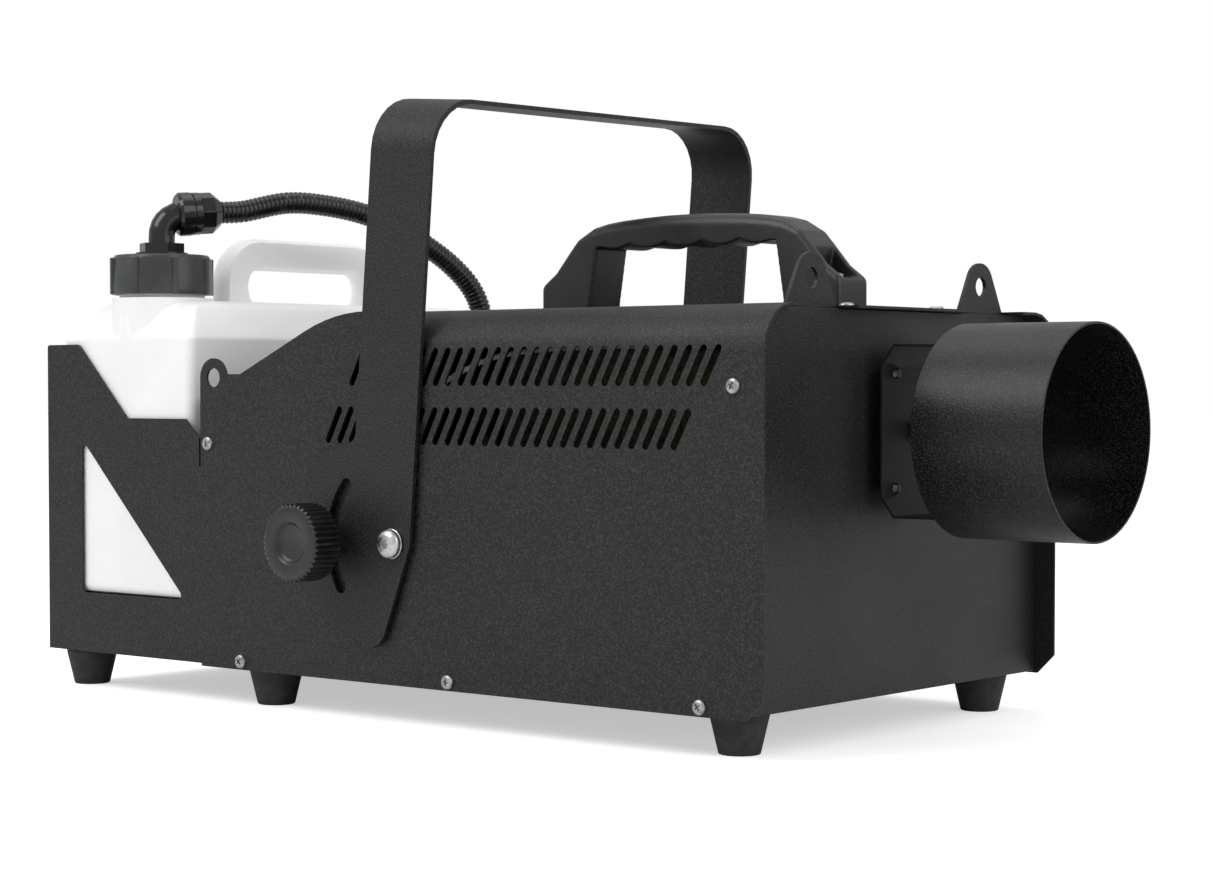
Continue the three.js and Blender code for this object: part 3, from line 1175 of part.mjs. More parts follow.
function elbowNut() {
  const top = CAP_UNDER - GAP;
  const hex = rod(LOCK_HEX, top - LOCK_NUT, top, 6);
  const thread = rod(ELBOW_RADIUS, top - LOCK_NUT - OVERRUN, top + OVERRUN, 12);
  return geometryOf(cut(hex, thread)).translate(-NECK_BACK, -NECK_SIDE, 0);
}

function connectorNut() {
  return toRunPlane(onBranch(turned([
    [0, NUT_START], [NUT_RADIUS, NUT_START], [NUT_RADIUS, NUT_END - NUT_TAPER],
    [HOSE_RADIUS + NUT_LIP, NUT_END], [0, NUT_END],
  ], 8)));
}

function dipTube() {
  const top = CAP_UNDER - LOCK_NUT - ELBOW_STEM - GAP;
  const bottom = TANK_BOTTOM + TANK_WALL + GAP;
  const strainer = rod(ELBOW_RADIUS, bottom, bottom + 3 * ELBOW_RADIUS, 14);
  const pipe = rod(TUBE_RADIUS, bottom + ELBOW_RADIUS, top, 10);
  return geometryOf(join(pipe, strainer)).translate(-NECK_BACK, -NECK_SIDE, 0);
}

// Ribbed hose with its bore. Its ends run straight for one diameter.
function hoseCurve() {
  const rise = BRANCH_Z - GLAND_TOP;
  const length = RUN.length();
  const route = HOSE_ROUTE_SHARES.map(([run, up]) => [run * length, GLAND_TOP + up * rise]);
  const end = GLAND_TOP + GAP;
  const start = NUT_END + GAP;
  const places = [
    branch(start), branch(start + 2 * HOSE_RADIUS), ...route, [length, end + 2 * HOSE_RADIUS], [length, end],
  ];
  return new THREE.CatmullRomCurve3(places.map(inRunPlane), false, "centripetal");
}

function fluidHose() {
  const curve = hoseCurve();
  const count = 2 * Math.round(curve.getLength() / HOSE_PITCH);
  const across = new THREE.Vector3(-Math.sin(HEADING), Math.cos(HEADING), 0);
  const positions = [];
  const index = [];
  const addRing = (i, radius) => {
    const middle = curve.getPointAt(i / count);
    const up = curve.getTangentAt(i / count).cross(across).normalize();
    for (let k = 0; k < HOSE_SIDES; k++) {
      const angle = (2 * Math.PI * k) / HOSE_SIDES;
      const point = middle.clone().addScaledVector(across, radius * Math.cos(angle));
      point.addScaledVector(up, radius * Math.sin(angle));
      positions.push(...point.toArray());
    }
    return positions.length / 3 - HOSE_SIDES;
  };
  const band = (first, second) => {
    for (let k = 0; k < HOSE_SIDES; k++) {
      const next = (k + 1) % HOSE_SIDES;
      index.push(first + k, first + next, second + next, first + k, second + next, second + k);
    }
  };
  const outer = [];
  const inner = [];
  for (let i = 0; i <= count; i++) {
    outer.push(addRing(i, i % 2 ? HOSE_RADIUS : HOSE_VALLEY));
    if (i % HOSE_BORE_STEP === 0 || i === count) inner.push(addRing(i, HOSE_BORE));
  }
  for (let i = 0; i + 1 < outer.length; i++) band(outer[i], outer[i + 1]);
  for (let i = 0; i + 1 < inner.length; i++) band(inner[i + 1], inner[i]);
  band(inner[0], outer[0]);
  band(outer[outer.length - 1], inner[inner.length - 1]);
  const geometry = new THREE.BufferGeometry();
  geometry.setAttribute("position", new THREE.Float32BufferAttribute(positions, 3));
  geometry.setIndex(index);
  return geometry;
}

function hoseGland() {
  const seat = BAY_LEDGE + GAP;
  const under = BAY_LEDGE - SHEET - GAP - GLAND_THREAD;
  const tail = BAY_LEDGE - GLAND_TAIL;
  return turned([
    [0, tail], [GLAND_TAIL_RADIUS, tail], [GLAND_TAIL_RADIUS, under], [GLAND_PORT, under],
    [GLAND_PORT, seat], [GLAND_RADIUS, seat], [GLAND_RADIUS, seat + GLAND_COLLAR],
    [HOSE_RADIUS + NUT_LIP, GLAND_TOP], [0, GLAND_TOP],
  ], 12).translate(-GLAND_BACK, GLAND_SIDE, 0);
}

// Feet and rear controls
function foot(back, inset, side) {
  const top = TRAY_UNDER - GAP;
  const wide = FOOT_TOP_RADIUS;
  const profile = [[0, 0], [FOOT_RADIUS, 0], [wide, top - FOOT_BAND], [wide, top], [0, top]];
  return turned(profile, 16).translate(-back, side * (HALF - inset), 0);
}

const toRear = (geometry) => geometry.rotateY(-Math.PI / 2).translate(-REAR_FACE, 0, CONTROL_Z);
const onPanel = (shape, name) => geometryOf(shape).translate(-REAR_FACE, controlY(name), CONTROL_Z);
const plateAt = (width, height, radius) =>
  alongX(rectangle(-width / 2, -height / 2, width / 2, height / 2, radius), -PLATE_RISE - GAP, -GAP);

// Half sizes of a control's body where it passes through its opening.
const bodyHalves = (width, height) => [width / 2 - PLATE_LIP - GAP, height / 2 - PLATE_LIP - GAP];

function mainsInlet() {
  const [w, h] = bodyHalves(INLET_WIDTH, INLET_HEIGHT);
  const [a, b] = [w - INLET_WALL, h - INLET_WALL];
  const [c, d] = [INLET_TONGUE / 2, INLET_TONGUE_SHEET / 2];
  const body = box(-PLATE_RISE, CONTROL_DEPTH - PLATE_RISE, -w, w, -h, h);
  const well = box(-PLATE_RISE - OVERRUN, INLET_WELL, -a, a, -b, b);
  const tongue = box(-PLATE_RISE, INLET_WELL + SHEET, -c, c, -d, d);
  const plate = plateAt(INLET_WIDTH, INLET_HEIGHT, PLATE_LIP);
  return onPanel(join(cut(join(plate, body), well), tongue), "inlet");
}

function dmxJack(name, pins) {
  const plate = plateAt(JACK_WIDTH, JACK_HEIGHT, PLATE_LIP);
  const barrel = toX(rod(JACK_BORE, -PLATE_RISE, CONTROL_DEPTH - PLATE_RISE, 18));
  const well = toX(rod(JACK_BORE - JACK_WALL, -PLATE_RISE - OVERRUN, JACK_WELL, 18));
  const inside = [];
  if (!pins) inside.push(toX(rod(JACK_PLUG, -PLATE_RISE, JACK_WELL + SHEET, 14)));
  for (let i = 0; pins && i < JACK_PINS; i++) {
    const angle = (2 * Math.PI * i) / JACK_PINS + Math.PI / 2;
    const place = [JACK_PIN_CIRCLE * Math.cos(angle), JACK_PIN_CIRCLE * Math.sin(angle)];
    inside.push(toX(rod(JACK_PIN, 0, JACK_WELL + SHEET, 6)).translate(0, ...place));
  }
  return onPanel(join(cut(join(plate, barrel), well), ...inside), name);
}

function fuseCap() {
  const profile = [
    [0, -FUSE_TAIL], [FUSE_BODY, -FUSE_TAIL], [FUSE_BODY, GAP], [FUSE_RADIUS, GAP], [FUSE_RADIUS, FUSE_RIM],
    [FUSE_BODY, FUSE_RISE], [0, FUSE_RISE],
  ];
  const [a, b] = [FUSE_SLOT / 2, FUSE_SLOT_WIDTH / 2];
  const slot = box(-a, a, -b, b, FUSE_RISE - FUSE_SLOT_DEPTH, FUSE_RISE + OVERRUN);
  return toRear(geometryOf(cut(turned(profile, 14), slot))).translate(0, controlY("fuse"), 0);
}

function switchBezel() {
  const [w, h] = bodyHalves(SWITCH_WIDTH, SWITCH_HEIGHT);
  const [a, b] = [w - SHEET, h - SHEET];
  const body = box(-PLATE_RISE, CONTROL_DEPTH - PLATE_RISE, -w, w, -h, h);
  const well = box(-PLATE_RISE - OVERRUN, CONTROL_DEPTH - PLATE_RISE - SHEET, -a, a, -b, b);
  return onPanel(cut(join(plateAt(SWITCH_WIDTH, SWITCH_HEIGHT, PLATE_LIP / 2), body), well), "power");
}

// Rocker with two flats that meet at a shallow angle. It rests pressed to one side.
function powerRocker() {
  const [width, height] = bodyHalves(SWITCH_WIDTH, SWITCH_HEIGHT);
  const w = width - SHEET - ROCKER_SIDE_CLEARANCE;
  const h = height - SHEET - GAP;
  const face = -PLATE_RISE - ROCKER_PROUD;
  const [waist, tail] = ROCKER_TAPER_SHARES;
  return alongZ(outline([
    [face - ROCKER_TIP, -w], [face + ROCKER_DIP, 0], [face - ROCKER_TIP, w], [ROCKER_AXIS, w * waist],
    [ROCKER_RADIUS, w * tail], [ROCKER_RADIUS, -w * tail], [ROCKER_AXIS, -w * waist],
  ]), -h, h);
}

function display() {
  const [w, h] = bodyHalves(DISPLAY_WIDTH, DISPLAY_HEIGHT);
  const [a, b] = [w - PLATE_LIP, h - PLATE_LIP];
  const body = box(-PLATE_RISE, DISPLAY_DEPTH, -w, w, -h, h);
  const glass = box(-PLATE_RISE - OVERRUN, -PLATE_RISE + SHEET / 2, -a, a, -b, b);
  return onPanel(cut(join(plateAt(DISPLAY_WIDTH, DISPLAY_HEIGHT, PLATE_LIP), body), glass), "display");
}

function button(index) {
  const shape = turned([
    [0, -BUTTON_TAIL], [BUTTON_STEM, -BUTTON_TAIL], [BUTTON_RADIUS, -SHEET], [BUTTON_RADIUS, BUTTON_STEM],
    [BUTTON_CROWN, BUTTON_RISE], [0, BUTTON_RISE],
  ], 10);
  return toRear(shape).translate(0, controlY("buttons") + index * BUTTON_PITCH, 0);
}

// Assembly
const machine = new THREE.Group();
machine.position.x = (BODY_LENGTH - DUCT_REACH) / 2;

piece("cover", cover(), POWDER, machine);
piece("base_tray", baseTray(), POWDER, machine);
piece("front_plate", frontPlate(), POWDER, machine);
piece("rig_eye_near", rigEye(NEAR), POWDER, machine);
piece("rig_eye_far", rigEye(FAR), POWDER, machine);
piece("bay_wall", bayWall(), POWDER, machine);
piece("rear_panel", rearPanel(), POWDER, machine);
piece("tank_shelf", tankShelf(), POWDER, machine);
piece("duct_tube", ductTube(), POWDER, machine);
piece("duct_bracket", ductBracket(), POWDER, machine);
standPlaces().forEach((place, i) => piece(`duct_standoff_${i + 1}`, standOff(place), ZINC, machine));
piece("nozzle", nozzle(), BRASS, machine);
piece("heater_block", heaterBlock(), ALUMINIUM, machine);
piece("heater_blanket", heaterBlanket(), BLANKET, machine);
piece("heater_stand", heaterStand(), ZINC, machine);
piece("pump", pump(), ZINC, machine);
piece("feed_tube", feedTube(), NATURAL, machine);
piece("heater_tube", heaterTube(), BRASS, machine);
piece("control_board", controlBoard(), BOARD, machine);
piece("heater_wire", heaterWire(), NATURAL, machine);
piece("handle", handle(), PLASTIC, machine);
piece("handle_screw_front", handleScrew(1), ZINC, machine);
piece("handle_screw_rear", handleScrew(-1), ZINC, machine);

const swing = new THREE.Group();
swing.position.copy(PIVOT);
swing.rotation.y = YOKE_TILT;
machine.add(swing);
piece("yoke", yoke(), POWDER, swing);

const feet = {
  front: [FOOT_FRONT, FOOT_FRONT_INSET],
  middle: [COVER_LENGTH - FOOT_MIDDLE, FOOT_INSET],
  rear: [BODY_LENGTH - FOOT_REAR, FOOT_INSET],
};
for (const [side, label] of [[NEAR, "near"], [FAR, "far"]]) {
  piece(`knob_${label}`, knob(side), PLASTIC, machine).position.set(PIVOT.x - SLOT_RADIUS, 0, PIVOT.z);
  piece(`pivot_bolt_${label}`, pivotBolt(side), ZINC, machine).position.copy(PIVOT);
  piece(`pivot_spacer_${label}`, pivotSpacer(side), NATURAL, machine).position.copy(PIVOT);
  for (const [place, [back, inset]] of Object.entries(feet)) {
    piece(`foot_${place}_${label}`, foot(back, inset, side), RUBBER, machine);
  }
}

piece("tank_jug", tankJug(), NATURAL, machine);
piece("tank_cap", cap(), PLASTIC, machine);
piece("cap_seal", capSeal(), RUBBER, machine);
piece("hose_elbow", hoseElbow(), GLOSS, machine);
piece("elbow_nut", elbowNut(), GLOSS, machine);
piece("connector_nut", connectorNut(), GLOSS, machine);
piece("dip_tube", dipTube(), NATURAL, machine);
piece("fluid_hose", fluidHose(), GLOSS, machine);
piece("hose_gland", hoseGland(), GLOSS, machine);

piece("mains_inlet", mainsInlet(), PLASTIC, machine);
piece("fuse_cap", fuseCap(), PLASTIC, machine);
piece("switch_bezel", switchBezel(), PLASTIC, machine);
const rocker = new THREE.Group();
rocker.position.set(ROCKER_AXIS - REAR_FACE, controlY("power"), CONTROL_Z);
rocker.rotation.z = -ROCKER_THROW;
machine.add(rocker);
piece("power_rocker", powerRocker(), GLOSS, rocker).position.x = -ROCKER_AXIS;
piece("display", display(), GLOSS, machine);
for (let i = 0; i < BUTTON_COUNT; i++) piece(`button_${i + 1}`, button(i), PLASTIC, machine);
piece("dmx_in", dmxJack("dmxIn", true), PLASTIC, machine);
piece("dmx_out", dmxJack("dmxOut", false), PLASTIC, machine);

export default machine;
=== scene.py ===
"""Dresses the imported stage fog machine: finishes, hose, fine pieces, studio light and camera.

Everything is in metres, in the frame of the CAD model, with +X the way the fog leaves.
"""

import json
import math

import bmesh
import bpy
from bpy.props import FloatProperty, FloatVectorProperty, IntProperty, PointerProperty
from mathutils import Matrix, Vector
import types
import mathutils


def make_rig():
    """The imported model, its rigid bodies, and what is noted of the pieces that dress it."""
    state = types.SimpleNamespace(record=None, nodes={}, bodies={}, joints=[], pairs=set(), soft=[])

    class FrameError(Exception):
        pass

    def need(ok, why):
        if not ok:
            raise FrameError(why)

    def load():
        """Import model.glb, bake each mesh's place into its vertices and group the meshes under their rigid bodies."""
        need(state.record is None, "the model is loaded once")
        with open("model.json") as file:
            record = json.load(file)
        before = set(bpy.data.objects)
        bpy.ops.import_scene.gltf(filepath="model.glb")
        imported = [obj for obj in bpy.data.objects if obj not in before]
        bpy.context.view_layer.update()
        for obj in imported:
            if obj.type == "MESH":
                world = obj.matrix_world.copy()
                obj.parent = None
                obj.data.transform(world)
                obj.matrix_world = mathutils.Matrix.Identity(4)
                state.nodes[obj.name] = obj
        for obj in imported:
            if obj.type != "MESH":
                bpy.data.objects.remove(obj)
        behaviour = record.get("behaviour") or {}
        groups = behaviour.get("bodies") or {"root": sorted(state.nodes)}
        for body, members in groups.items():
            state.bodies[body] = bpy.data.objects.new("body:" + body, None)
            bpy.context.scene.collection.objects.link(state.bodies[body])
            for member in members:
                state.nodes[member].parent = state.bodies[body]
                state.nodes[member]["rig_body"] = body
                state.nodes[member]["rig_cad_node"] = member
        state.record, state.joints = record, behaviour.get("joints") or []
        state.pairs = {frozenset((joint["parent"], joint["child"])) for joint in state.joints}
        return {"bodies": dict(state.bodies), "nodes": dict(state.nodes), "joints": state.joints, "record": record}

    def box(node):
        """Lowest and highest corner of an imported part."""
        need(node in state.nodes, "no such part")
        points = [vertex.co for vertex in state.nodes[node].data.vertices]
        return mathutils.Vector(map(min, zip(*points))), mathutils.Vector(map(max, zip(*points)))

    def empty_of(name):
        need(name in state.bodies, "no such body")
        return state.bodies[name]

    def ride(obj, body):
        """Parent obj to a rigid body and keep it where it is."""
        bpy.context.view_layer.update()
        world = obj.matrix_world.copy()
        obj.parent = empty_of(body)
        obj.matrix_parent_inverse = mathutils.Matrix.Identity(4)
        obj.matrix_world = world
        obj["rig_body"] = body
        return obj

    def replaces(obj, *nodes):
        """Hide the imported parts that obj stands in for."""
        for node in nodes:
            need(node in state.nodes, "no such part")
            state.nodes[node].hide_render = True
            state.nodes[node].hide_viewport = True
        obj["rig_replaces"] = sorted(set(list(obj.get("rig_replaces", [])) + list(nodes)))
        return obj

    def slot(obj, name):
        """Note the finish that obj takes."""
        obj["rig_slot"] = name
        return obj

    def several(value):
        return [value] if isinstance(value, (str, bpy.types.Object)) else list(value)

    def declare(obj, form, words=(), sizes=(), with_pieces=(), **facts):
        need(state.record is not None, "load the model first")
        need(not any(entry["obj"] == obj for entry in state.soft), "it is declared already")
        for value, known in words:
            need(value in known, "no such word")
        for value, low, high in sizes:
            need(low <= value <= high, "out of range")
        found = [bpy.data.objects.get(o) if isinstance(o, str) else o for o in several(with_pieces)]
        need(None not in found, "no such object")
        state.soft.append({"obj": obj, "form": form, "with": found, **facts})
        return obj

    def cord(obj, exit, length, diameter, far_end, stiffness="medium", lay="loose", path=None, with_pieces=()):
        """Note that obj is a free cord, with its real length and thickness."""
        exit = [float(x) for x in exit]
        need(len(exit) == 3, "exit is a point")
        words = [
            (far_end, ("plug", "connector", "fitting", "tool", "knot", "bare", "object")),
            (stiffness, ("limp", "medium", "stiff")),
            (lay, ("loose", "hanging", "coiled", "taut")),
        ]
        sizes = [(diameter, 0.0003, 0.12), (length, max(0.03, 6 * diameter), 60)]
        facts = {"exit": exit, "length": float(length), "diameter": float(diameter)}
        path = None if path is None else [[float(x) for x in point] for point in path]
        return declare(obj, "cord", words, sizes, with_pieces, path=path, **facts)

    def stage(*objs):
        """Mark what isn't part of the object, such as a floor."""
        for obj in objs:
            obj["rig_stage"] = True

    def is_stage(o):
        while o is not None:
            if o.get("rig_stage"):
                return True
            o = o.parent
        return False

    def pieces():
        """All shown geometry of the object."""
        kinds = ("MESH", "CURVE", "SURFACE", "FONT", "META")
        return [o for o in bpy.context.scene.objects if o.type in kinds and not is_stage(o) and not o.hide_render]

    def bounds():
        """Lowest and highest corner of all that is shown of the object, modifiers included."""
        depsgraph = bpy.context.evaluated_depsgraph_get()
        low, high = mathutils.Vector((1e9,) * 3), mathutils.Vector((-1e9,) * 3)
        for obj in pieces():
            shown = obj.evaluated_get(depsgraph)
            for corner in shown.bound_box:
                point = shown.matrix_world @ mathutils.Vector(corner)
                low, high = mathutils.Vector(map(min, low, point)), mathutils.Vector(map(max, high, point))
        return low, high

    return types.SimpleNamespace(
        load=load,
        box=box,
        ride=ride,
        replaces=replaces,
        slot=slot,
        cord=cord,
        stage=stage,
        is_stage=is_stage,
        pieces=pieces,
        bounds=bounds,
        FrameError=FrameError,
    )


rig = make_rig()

bl_info = {
    "name": "Stage Fog Machine",
    "version": (1, 0, 0),
    "blender": (4, 5, 0),
    "location": "3D View > Sidebar > Fog Machine",
    "description": "Builds the finishes and fine pieces of a stage fog machine",
    "category": "Object",
}

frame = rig.load()
NODES = frame["nodes"]
CAD_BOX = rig.bounds()
MM = 0.001
SIZE_FILE = "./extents.json"
NEAR = -1
FAR = 1
SMOOTH = math.radians(34)  # edges sharper than this stay crisp
FLAT = math.radians(0.4)  # faces that meet under this angle are joined
WELD = 0.01  # mm
CLEAR = 1  # mm that a cutter stands out of what it cuts

# Cover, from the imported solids: places along the machine are measured from its front edge, in mm
COVER_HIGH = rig.box("cover")[1]
COVER_FRONT = COVER_HIGH.x / MM

# Vents, mm. The photograph's slots are wider than the solid's, so they are cut again
# along the same middle lines.
VENT_ROWS = 2
VENT_COUNT = 28
VENT_WIDTH = 4.5
VENT_LEAN = Vector((11.5, 21.6))  # back and up along a slot
VENT_FRONT = 28.7
VENT_PITCH = 9.689
VENT_DROP = 22.2
VENT_ROW_DROP = 34
VENT_ROW_SHIFT = 20
VENT_END_STEPS = 8

# Handle: its outline's height over the half length, both as shares, first the solid's and then the arched one
HANDLE_OUTLINE = ((0, 0.985), (0.3, 0.985), (0.64, 0.92), (0.74, 0.79), (0.9, 0.44), (1, 0.3))
HANDLE_ARCH = (
    (0, 1.0), (0.15, 0.998), (0.3, 0.985), (0.45, 0.965), (0.56, 0.94), (0.64, 0.905), (0.74, 0.785),
    (0.9, 0.44), (1, 0.3),
)
HANDLE_HALF = 112  # half its length, mm
HANDLE_HEIGHT = 58.3
HANDLE_GRIP = 18  # from the bar's top to its underside
HANDLE_ROLL = ((0, 8.0), (0.62, 7.0), (0.76, 3.0), (0.84, 0.0), (1, 0.0))  # radius of the grip's upper edges
HANDLE_GRAIN = 0.8  # size of the even mesh that the soft form is made from
HANDLE_KEPT = 0.25  # share of that mesh's faces that are kept
HANDLE_SOFTNESS = 0.5  # how far one pass evens out the form
HANDLE_PASSES = 5

# Rear controls, mm, in a frame that stands on the panel: z points out of it and y up
INLET_TONGUE = (8, 3.4)  # half sizes of the inlet's tongue, which its three blades replace
INLET_WELL = 15
INLET_BLADES = ((-7, -1.8), (7, -1.8), (0, 2.2))
INLET_BLADE = (1, 2)
INLET_BLADE_LEVELS = ((-INLET_WELL - 0.5, 1), (-1.2, 1), (-0.2, 0.8), (0, 0.5))  # height and scale
JACK_WELL = 13
JACK_CIRCLE = 4  # radius of the circle that the contacts stand on
JACK_CONTACTS = tuple(
    (JACK_CIRCLE * math.cos(angle), JACK_CIRCLE * math.sin(angle))
    for angle in (math.pi / 2, math.pi * 7 / 6, math.pi * 11 / 6)
)
JACK_SIDES = 16
JACK_SOCKET = 1.45
JACK_PIN = ((0, -13.5), (1.35, -13.5), (1.35, -0.9), (1.15, -0.4), (0.7, -0.1), (0, 0))
JACK_SCREW = (9.3, 12)
JACK_SCREW_SCALE = 0.42
JACK_SCREW_TURN = 0.7  # radians, so that the recesses of a jack's two screws stand apart
PLATE_RISE = 2
WINDOW_HALF = (16.6, 6.6)
WINDOW_RISE = -0.5
WINDOW_LEVELS = ((-1.2, 1), (WINDOW_RISE - 0.15, 1), (WINDOW_RISE, 0.985))  # height and scale
DIGITS = (-10, 0, 10)  # middles of the three digits
SEGMENT_LONG = 3.6
SEGMENT_HALF = 0.55
SEGMENT_GAP = 0.15
SEGMENT_LEVELS = ((WINDOW_RISE - 0.1, 1), (WINDOW_RISE + 0.06, 0.96))
DIGIT_LEAN = 0.12
MARK_OFFSET = 3.6
MARK_BAR = (0.35, 2.0)  # half sizes of the stroke
MARK_RING = (1.3, 1.9)  # inner and outer radius
MARK_SINK = 0.1
MARK_RISE = 0.08
MARK_SIDES = 28
MARK_APPROACH = 20  # how far out of the panel the search for the rocker's face starts

# Screws, mm
SCREW_RADIUS = 4.3
SCREW_RISE = 2.2
SCREW_SEAT = 0.4  # how far a head's underside is sunk, so that no slit shows
# The head's curve, as shares of its radius and rise
SCREW_DOME = ((1, 0.3), (0.95, 0.6), (0.82, 0.82), (0.6, 0.94), (0.3, 0.99), (0, 1))
SCREW_SIDES = 32
RECESS_ARM = 2.6
RECESS_HALF = 0.62
RECESS_DEPTH = 1.5
RECESS_TAPER = 0.55  # the recess's foot over its mouth
SIDE_SCREW_TURN = 0.9  # radians from one screw's recess to the next, as fitted screws stand
TOP_SCREW_TURN = 0.6  # radians to either side
SIDE_SCREWS = ((-41.7, 27.2), (-223.8, 27.2), (-398.4, 27.2), (-427.5, 161.3), (-19.7, 197.2))
TOP_SCREW_BACK = -19.7
TOP_SCREW_SIDE = 46.05

# Hose, mm. The route repeats the solid's: distance from the neck's axis along the run, and height.
HOSE_RADIUS = 7.25
HOSE_VALLEY = 6.5
HOSE_BORE = 4.9
HOSE_PITCH = 3.0
HOSE_SIDES = 24
# One rib: how far along the pitch, and how high, as shares
HOSE_RIB = ((0.0, 0.0), (0.12, 0.1), (0.24, 0.8), (0.38, 1.0), (0.66, 1.0), (0.8, 0.8), (0.92, 0.1))
HOSE_NECK = (-512.4, -113.5)
HOSE_GLAND = (-412.5, 88)
HOSE_HEADING = math.atan2(HOSE_GLAND[1] - HOSE_NECK[1], HOSE_GLAND[0] - HOSE_NECK[0])
HOSE_ROUTE = (
    (38.98, 311.02), (53.45, 312.03), (85.01, 318.62), (112.0, 317.63), (140.11, 312.25), (165.98, 302.02),
    (185.09, 291.08), (202.41, 278.52), (215.45, 264.62), (222.43, 250.17), (224.9, 233.4), (224.9, 218.9),
)
HOSE_LENGTH = 0.2405  # metres, from the connector nut to the gland
HOSE_STEPS = 24  # samples between two points of the route
HOSE_STATED = 6  # samples from one point of the stated path to the next

# Knob, mm, with its axis outwards and its zero on the arm's outer face. A third number in a profile is
# how much of a rib's height, 1 mm, that ring carries.
KNOB_RIBS = 40
KNOB_RIB_STEPS = 8  # sides to one rib
KNOB_RIB_MEAN = 0.5  # a rib is a wave about this height, cut off at 1, which flattens its crest
KNOB_RIB_SWING = 1.2
KNOB_REACH = 34.5
KNOB_PROFILE = (
    (0, -17.5), (4, -17.5), (4, 0.3), (10.5, 0.3), (10.5, 1.5), (9, 1.5), (9, 13.4), (9.6, 14), (20.4, 14),
    (21.4, 14.3, 0.4), (22.0, 15.1, 1), (22.0, 33.1, 1), (21.6, 33.9, 0.7), (20.8, 34.4, 0.2), (20, 34.5),
    (13.4, 34.5), (12.7, 34.3), (12.1, 33.8), (11.2, 32.6), (10.3, 31.8), (9.2, 31.5), (0, 31.4),
)

# Pivot bolt, mm, made like the knob
BOLT_PROFILE = (
    (0, -17.5), (4, -17.5), (4, 0.3), (8.6, 0.3), (8.9, 0.5), (8.9, 1.3), (8.7, 1.5), (8.5, 1.6), (8.6, 2.9),
    (8.2, 4.2), (7.2, 5.4), (5.8, 6.2), (4.4, 6.6), (0, 6.8),
)
BOLT_REACH = 6.9
BOLT_SIDES = 40
SOCKET_RADIUS = 2.9
SOCKET_DEPTH = 3.4
SOCKET_SIDES = 6

# How finely the forms are made
EASE_SEGMENTS = 3  # faces across an eased edge

# Patterns of the finishes, mm
COAT_GRIT = 1.1  # the real grit is about 0.3 mm, which a render can't show
COAT_CLOUD = 60
PLASTIC_CLOUD = 25
CONDUIT_CLOUD = 30
METAL_CLOUD = 3
TANK_FLOW = 45
TANK_PEEL = 2.5
RUBBER_BLOOM = 6
RUBBER_GRIT = 0.7
BLANKET_STRANDS = 4
NOISE_LOW, NOISE_HIGH = 0.3, 0.7  # where the values of a noise texture mostly lie

# The colours that the settings hold, each the light stop of its finish; the coat's stop paints glint specks
COAT_GLINT = 0x343434
TANK_LIGHT = 0xFAFAF9
HOSE_LIGHT = 0x1E1E20

# Camera and stage
SENSOR_WIDTH = 36  # mm
CAMERA_SHIFT = 0.024  # how far the view is raised, over the picture's width
CAMERA_REACH = 50
FLOOR_REACH = 12
FLOOR_GLOW = 0.5  # light that the floor adds to what the camera sees of it
LAMP_AIM = Vector((0, 0, 0.16))


# Colours and shader nodes


def linear(colour, alpha=1.0):
    """An sRGB hex colour as the linear RGBA that a shader socket takes."""
    channels = []
    for shift in (16, 8, 0):
        value = ((colour >> shift) & 255) / 255
        channels.append(value / 12.92 if value <= 0.04045 else ((value + 0.055) / 1.055) ** 2.4)
    return (*channels, alpha)


def add(tree, kind, links=(), stops=(), **settings):
    """Adds a node with its settings, a ramp's stops as (place, hex colour), and links as (socket, source)."""
    node = tree.nodes.new(kind)
    for name, value in settings.items():
        if hasattr(node, name):
            setattr(node, name, value)
        else:
            node.inputs[name.replace("_", " ")].default_value = value
    for element, (place, colour) in zip(node.color_ramp.elements if stops else (), stops):
        element.position = place
        element.color = linear(colour)
    for socket, source in links:
        tree.links.new(source, node.inputs[socket])
    return node


def new_material(name):
    """An empty node material with its output and its object coordinates, which are metres here."""
    material = bpy.data.materials.new(name)
    material.use_nodes = True
    tree = material.node_tree
    tree.nodes.clear()
    output = add(tree, "ShaderNodeOutputMaterial")
    place = add(tree, "ShaderNodeTexCoord").outputs["Object"]
    return material, tree, output.inputs["Surface"], place


# Finishes


def powder_coat(name, dark, light, roughness, relief_mm=0.16):
    """Baked polyester powder on steel: orange-peel grit breaks a broad satin sheen; painted glints speck its colour.
    """
    material, tree, surface, place = new_material(name)
    grit = add(
        tree, "ShaderNodeTexNoise", [("Vector", place)],
        Scale=1 / (COAT_GRIT * MM), Detail=2.0, Roughness=0.6,
    )
    cloud = add(tree, "ShaderNodeTexNoise", [("Vector", place)], Scale=1 / (COAT_CLOUD * MM), Detail=2.0)
    # The light stop paints glints as light specks on the grit; the dark stop is the coat's own black
    colour = add(tree, "ShaderNodeValToRGB", [("Fac", grit.outputs["Fac"])], [(0.46, dark), (0.7, light)])
    rough = add(
        tree, "ShaderNodeMapRange", [("Value", cloud.outputs["Fac"])],
        From_Min=NOISE_LOW, From_Max=NOISE_HIGH, To_Min=roughness - 0.04, To_Max=roughness + 0.05,
    )
    relief = add(
        tree, "ShaderNodeBump", [("Height", grit.outputs["Fac"])],
        Strength=1.0, Distance=relief_mm * MM,
    )
    shader = add(
        tree, "ShaderNodeBsdfPrincipled",
        [("Base Color", colour.outputs["Color"]), ("Roughness", rough.outputs["Result"]),
         ("Normal", relief.outputs["Normal"])],
        IOR=1.45,
    )
    tree.links.new(shader.outputs["BSDF"], surface)
    return material


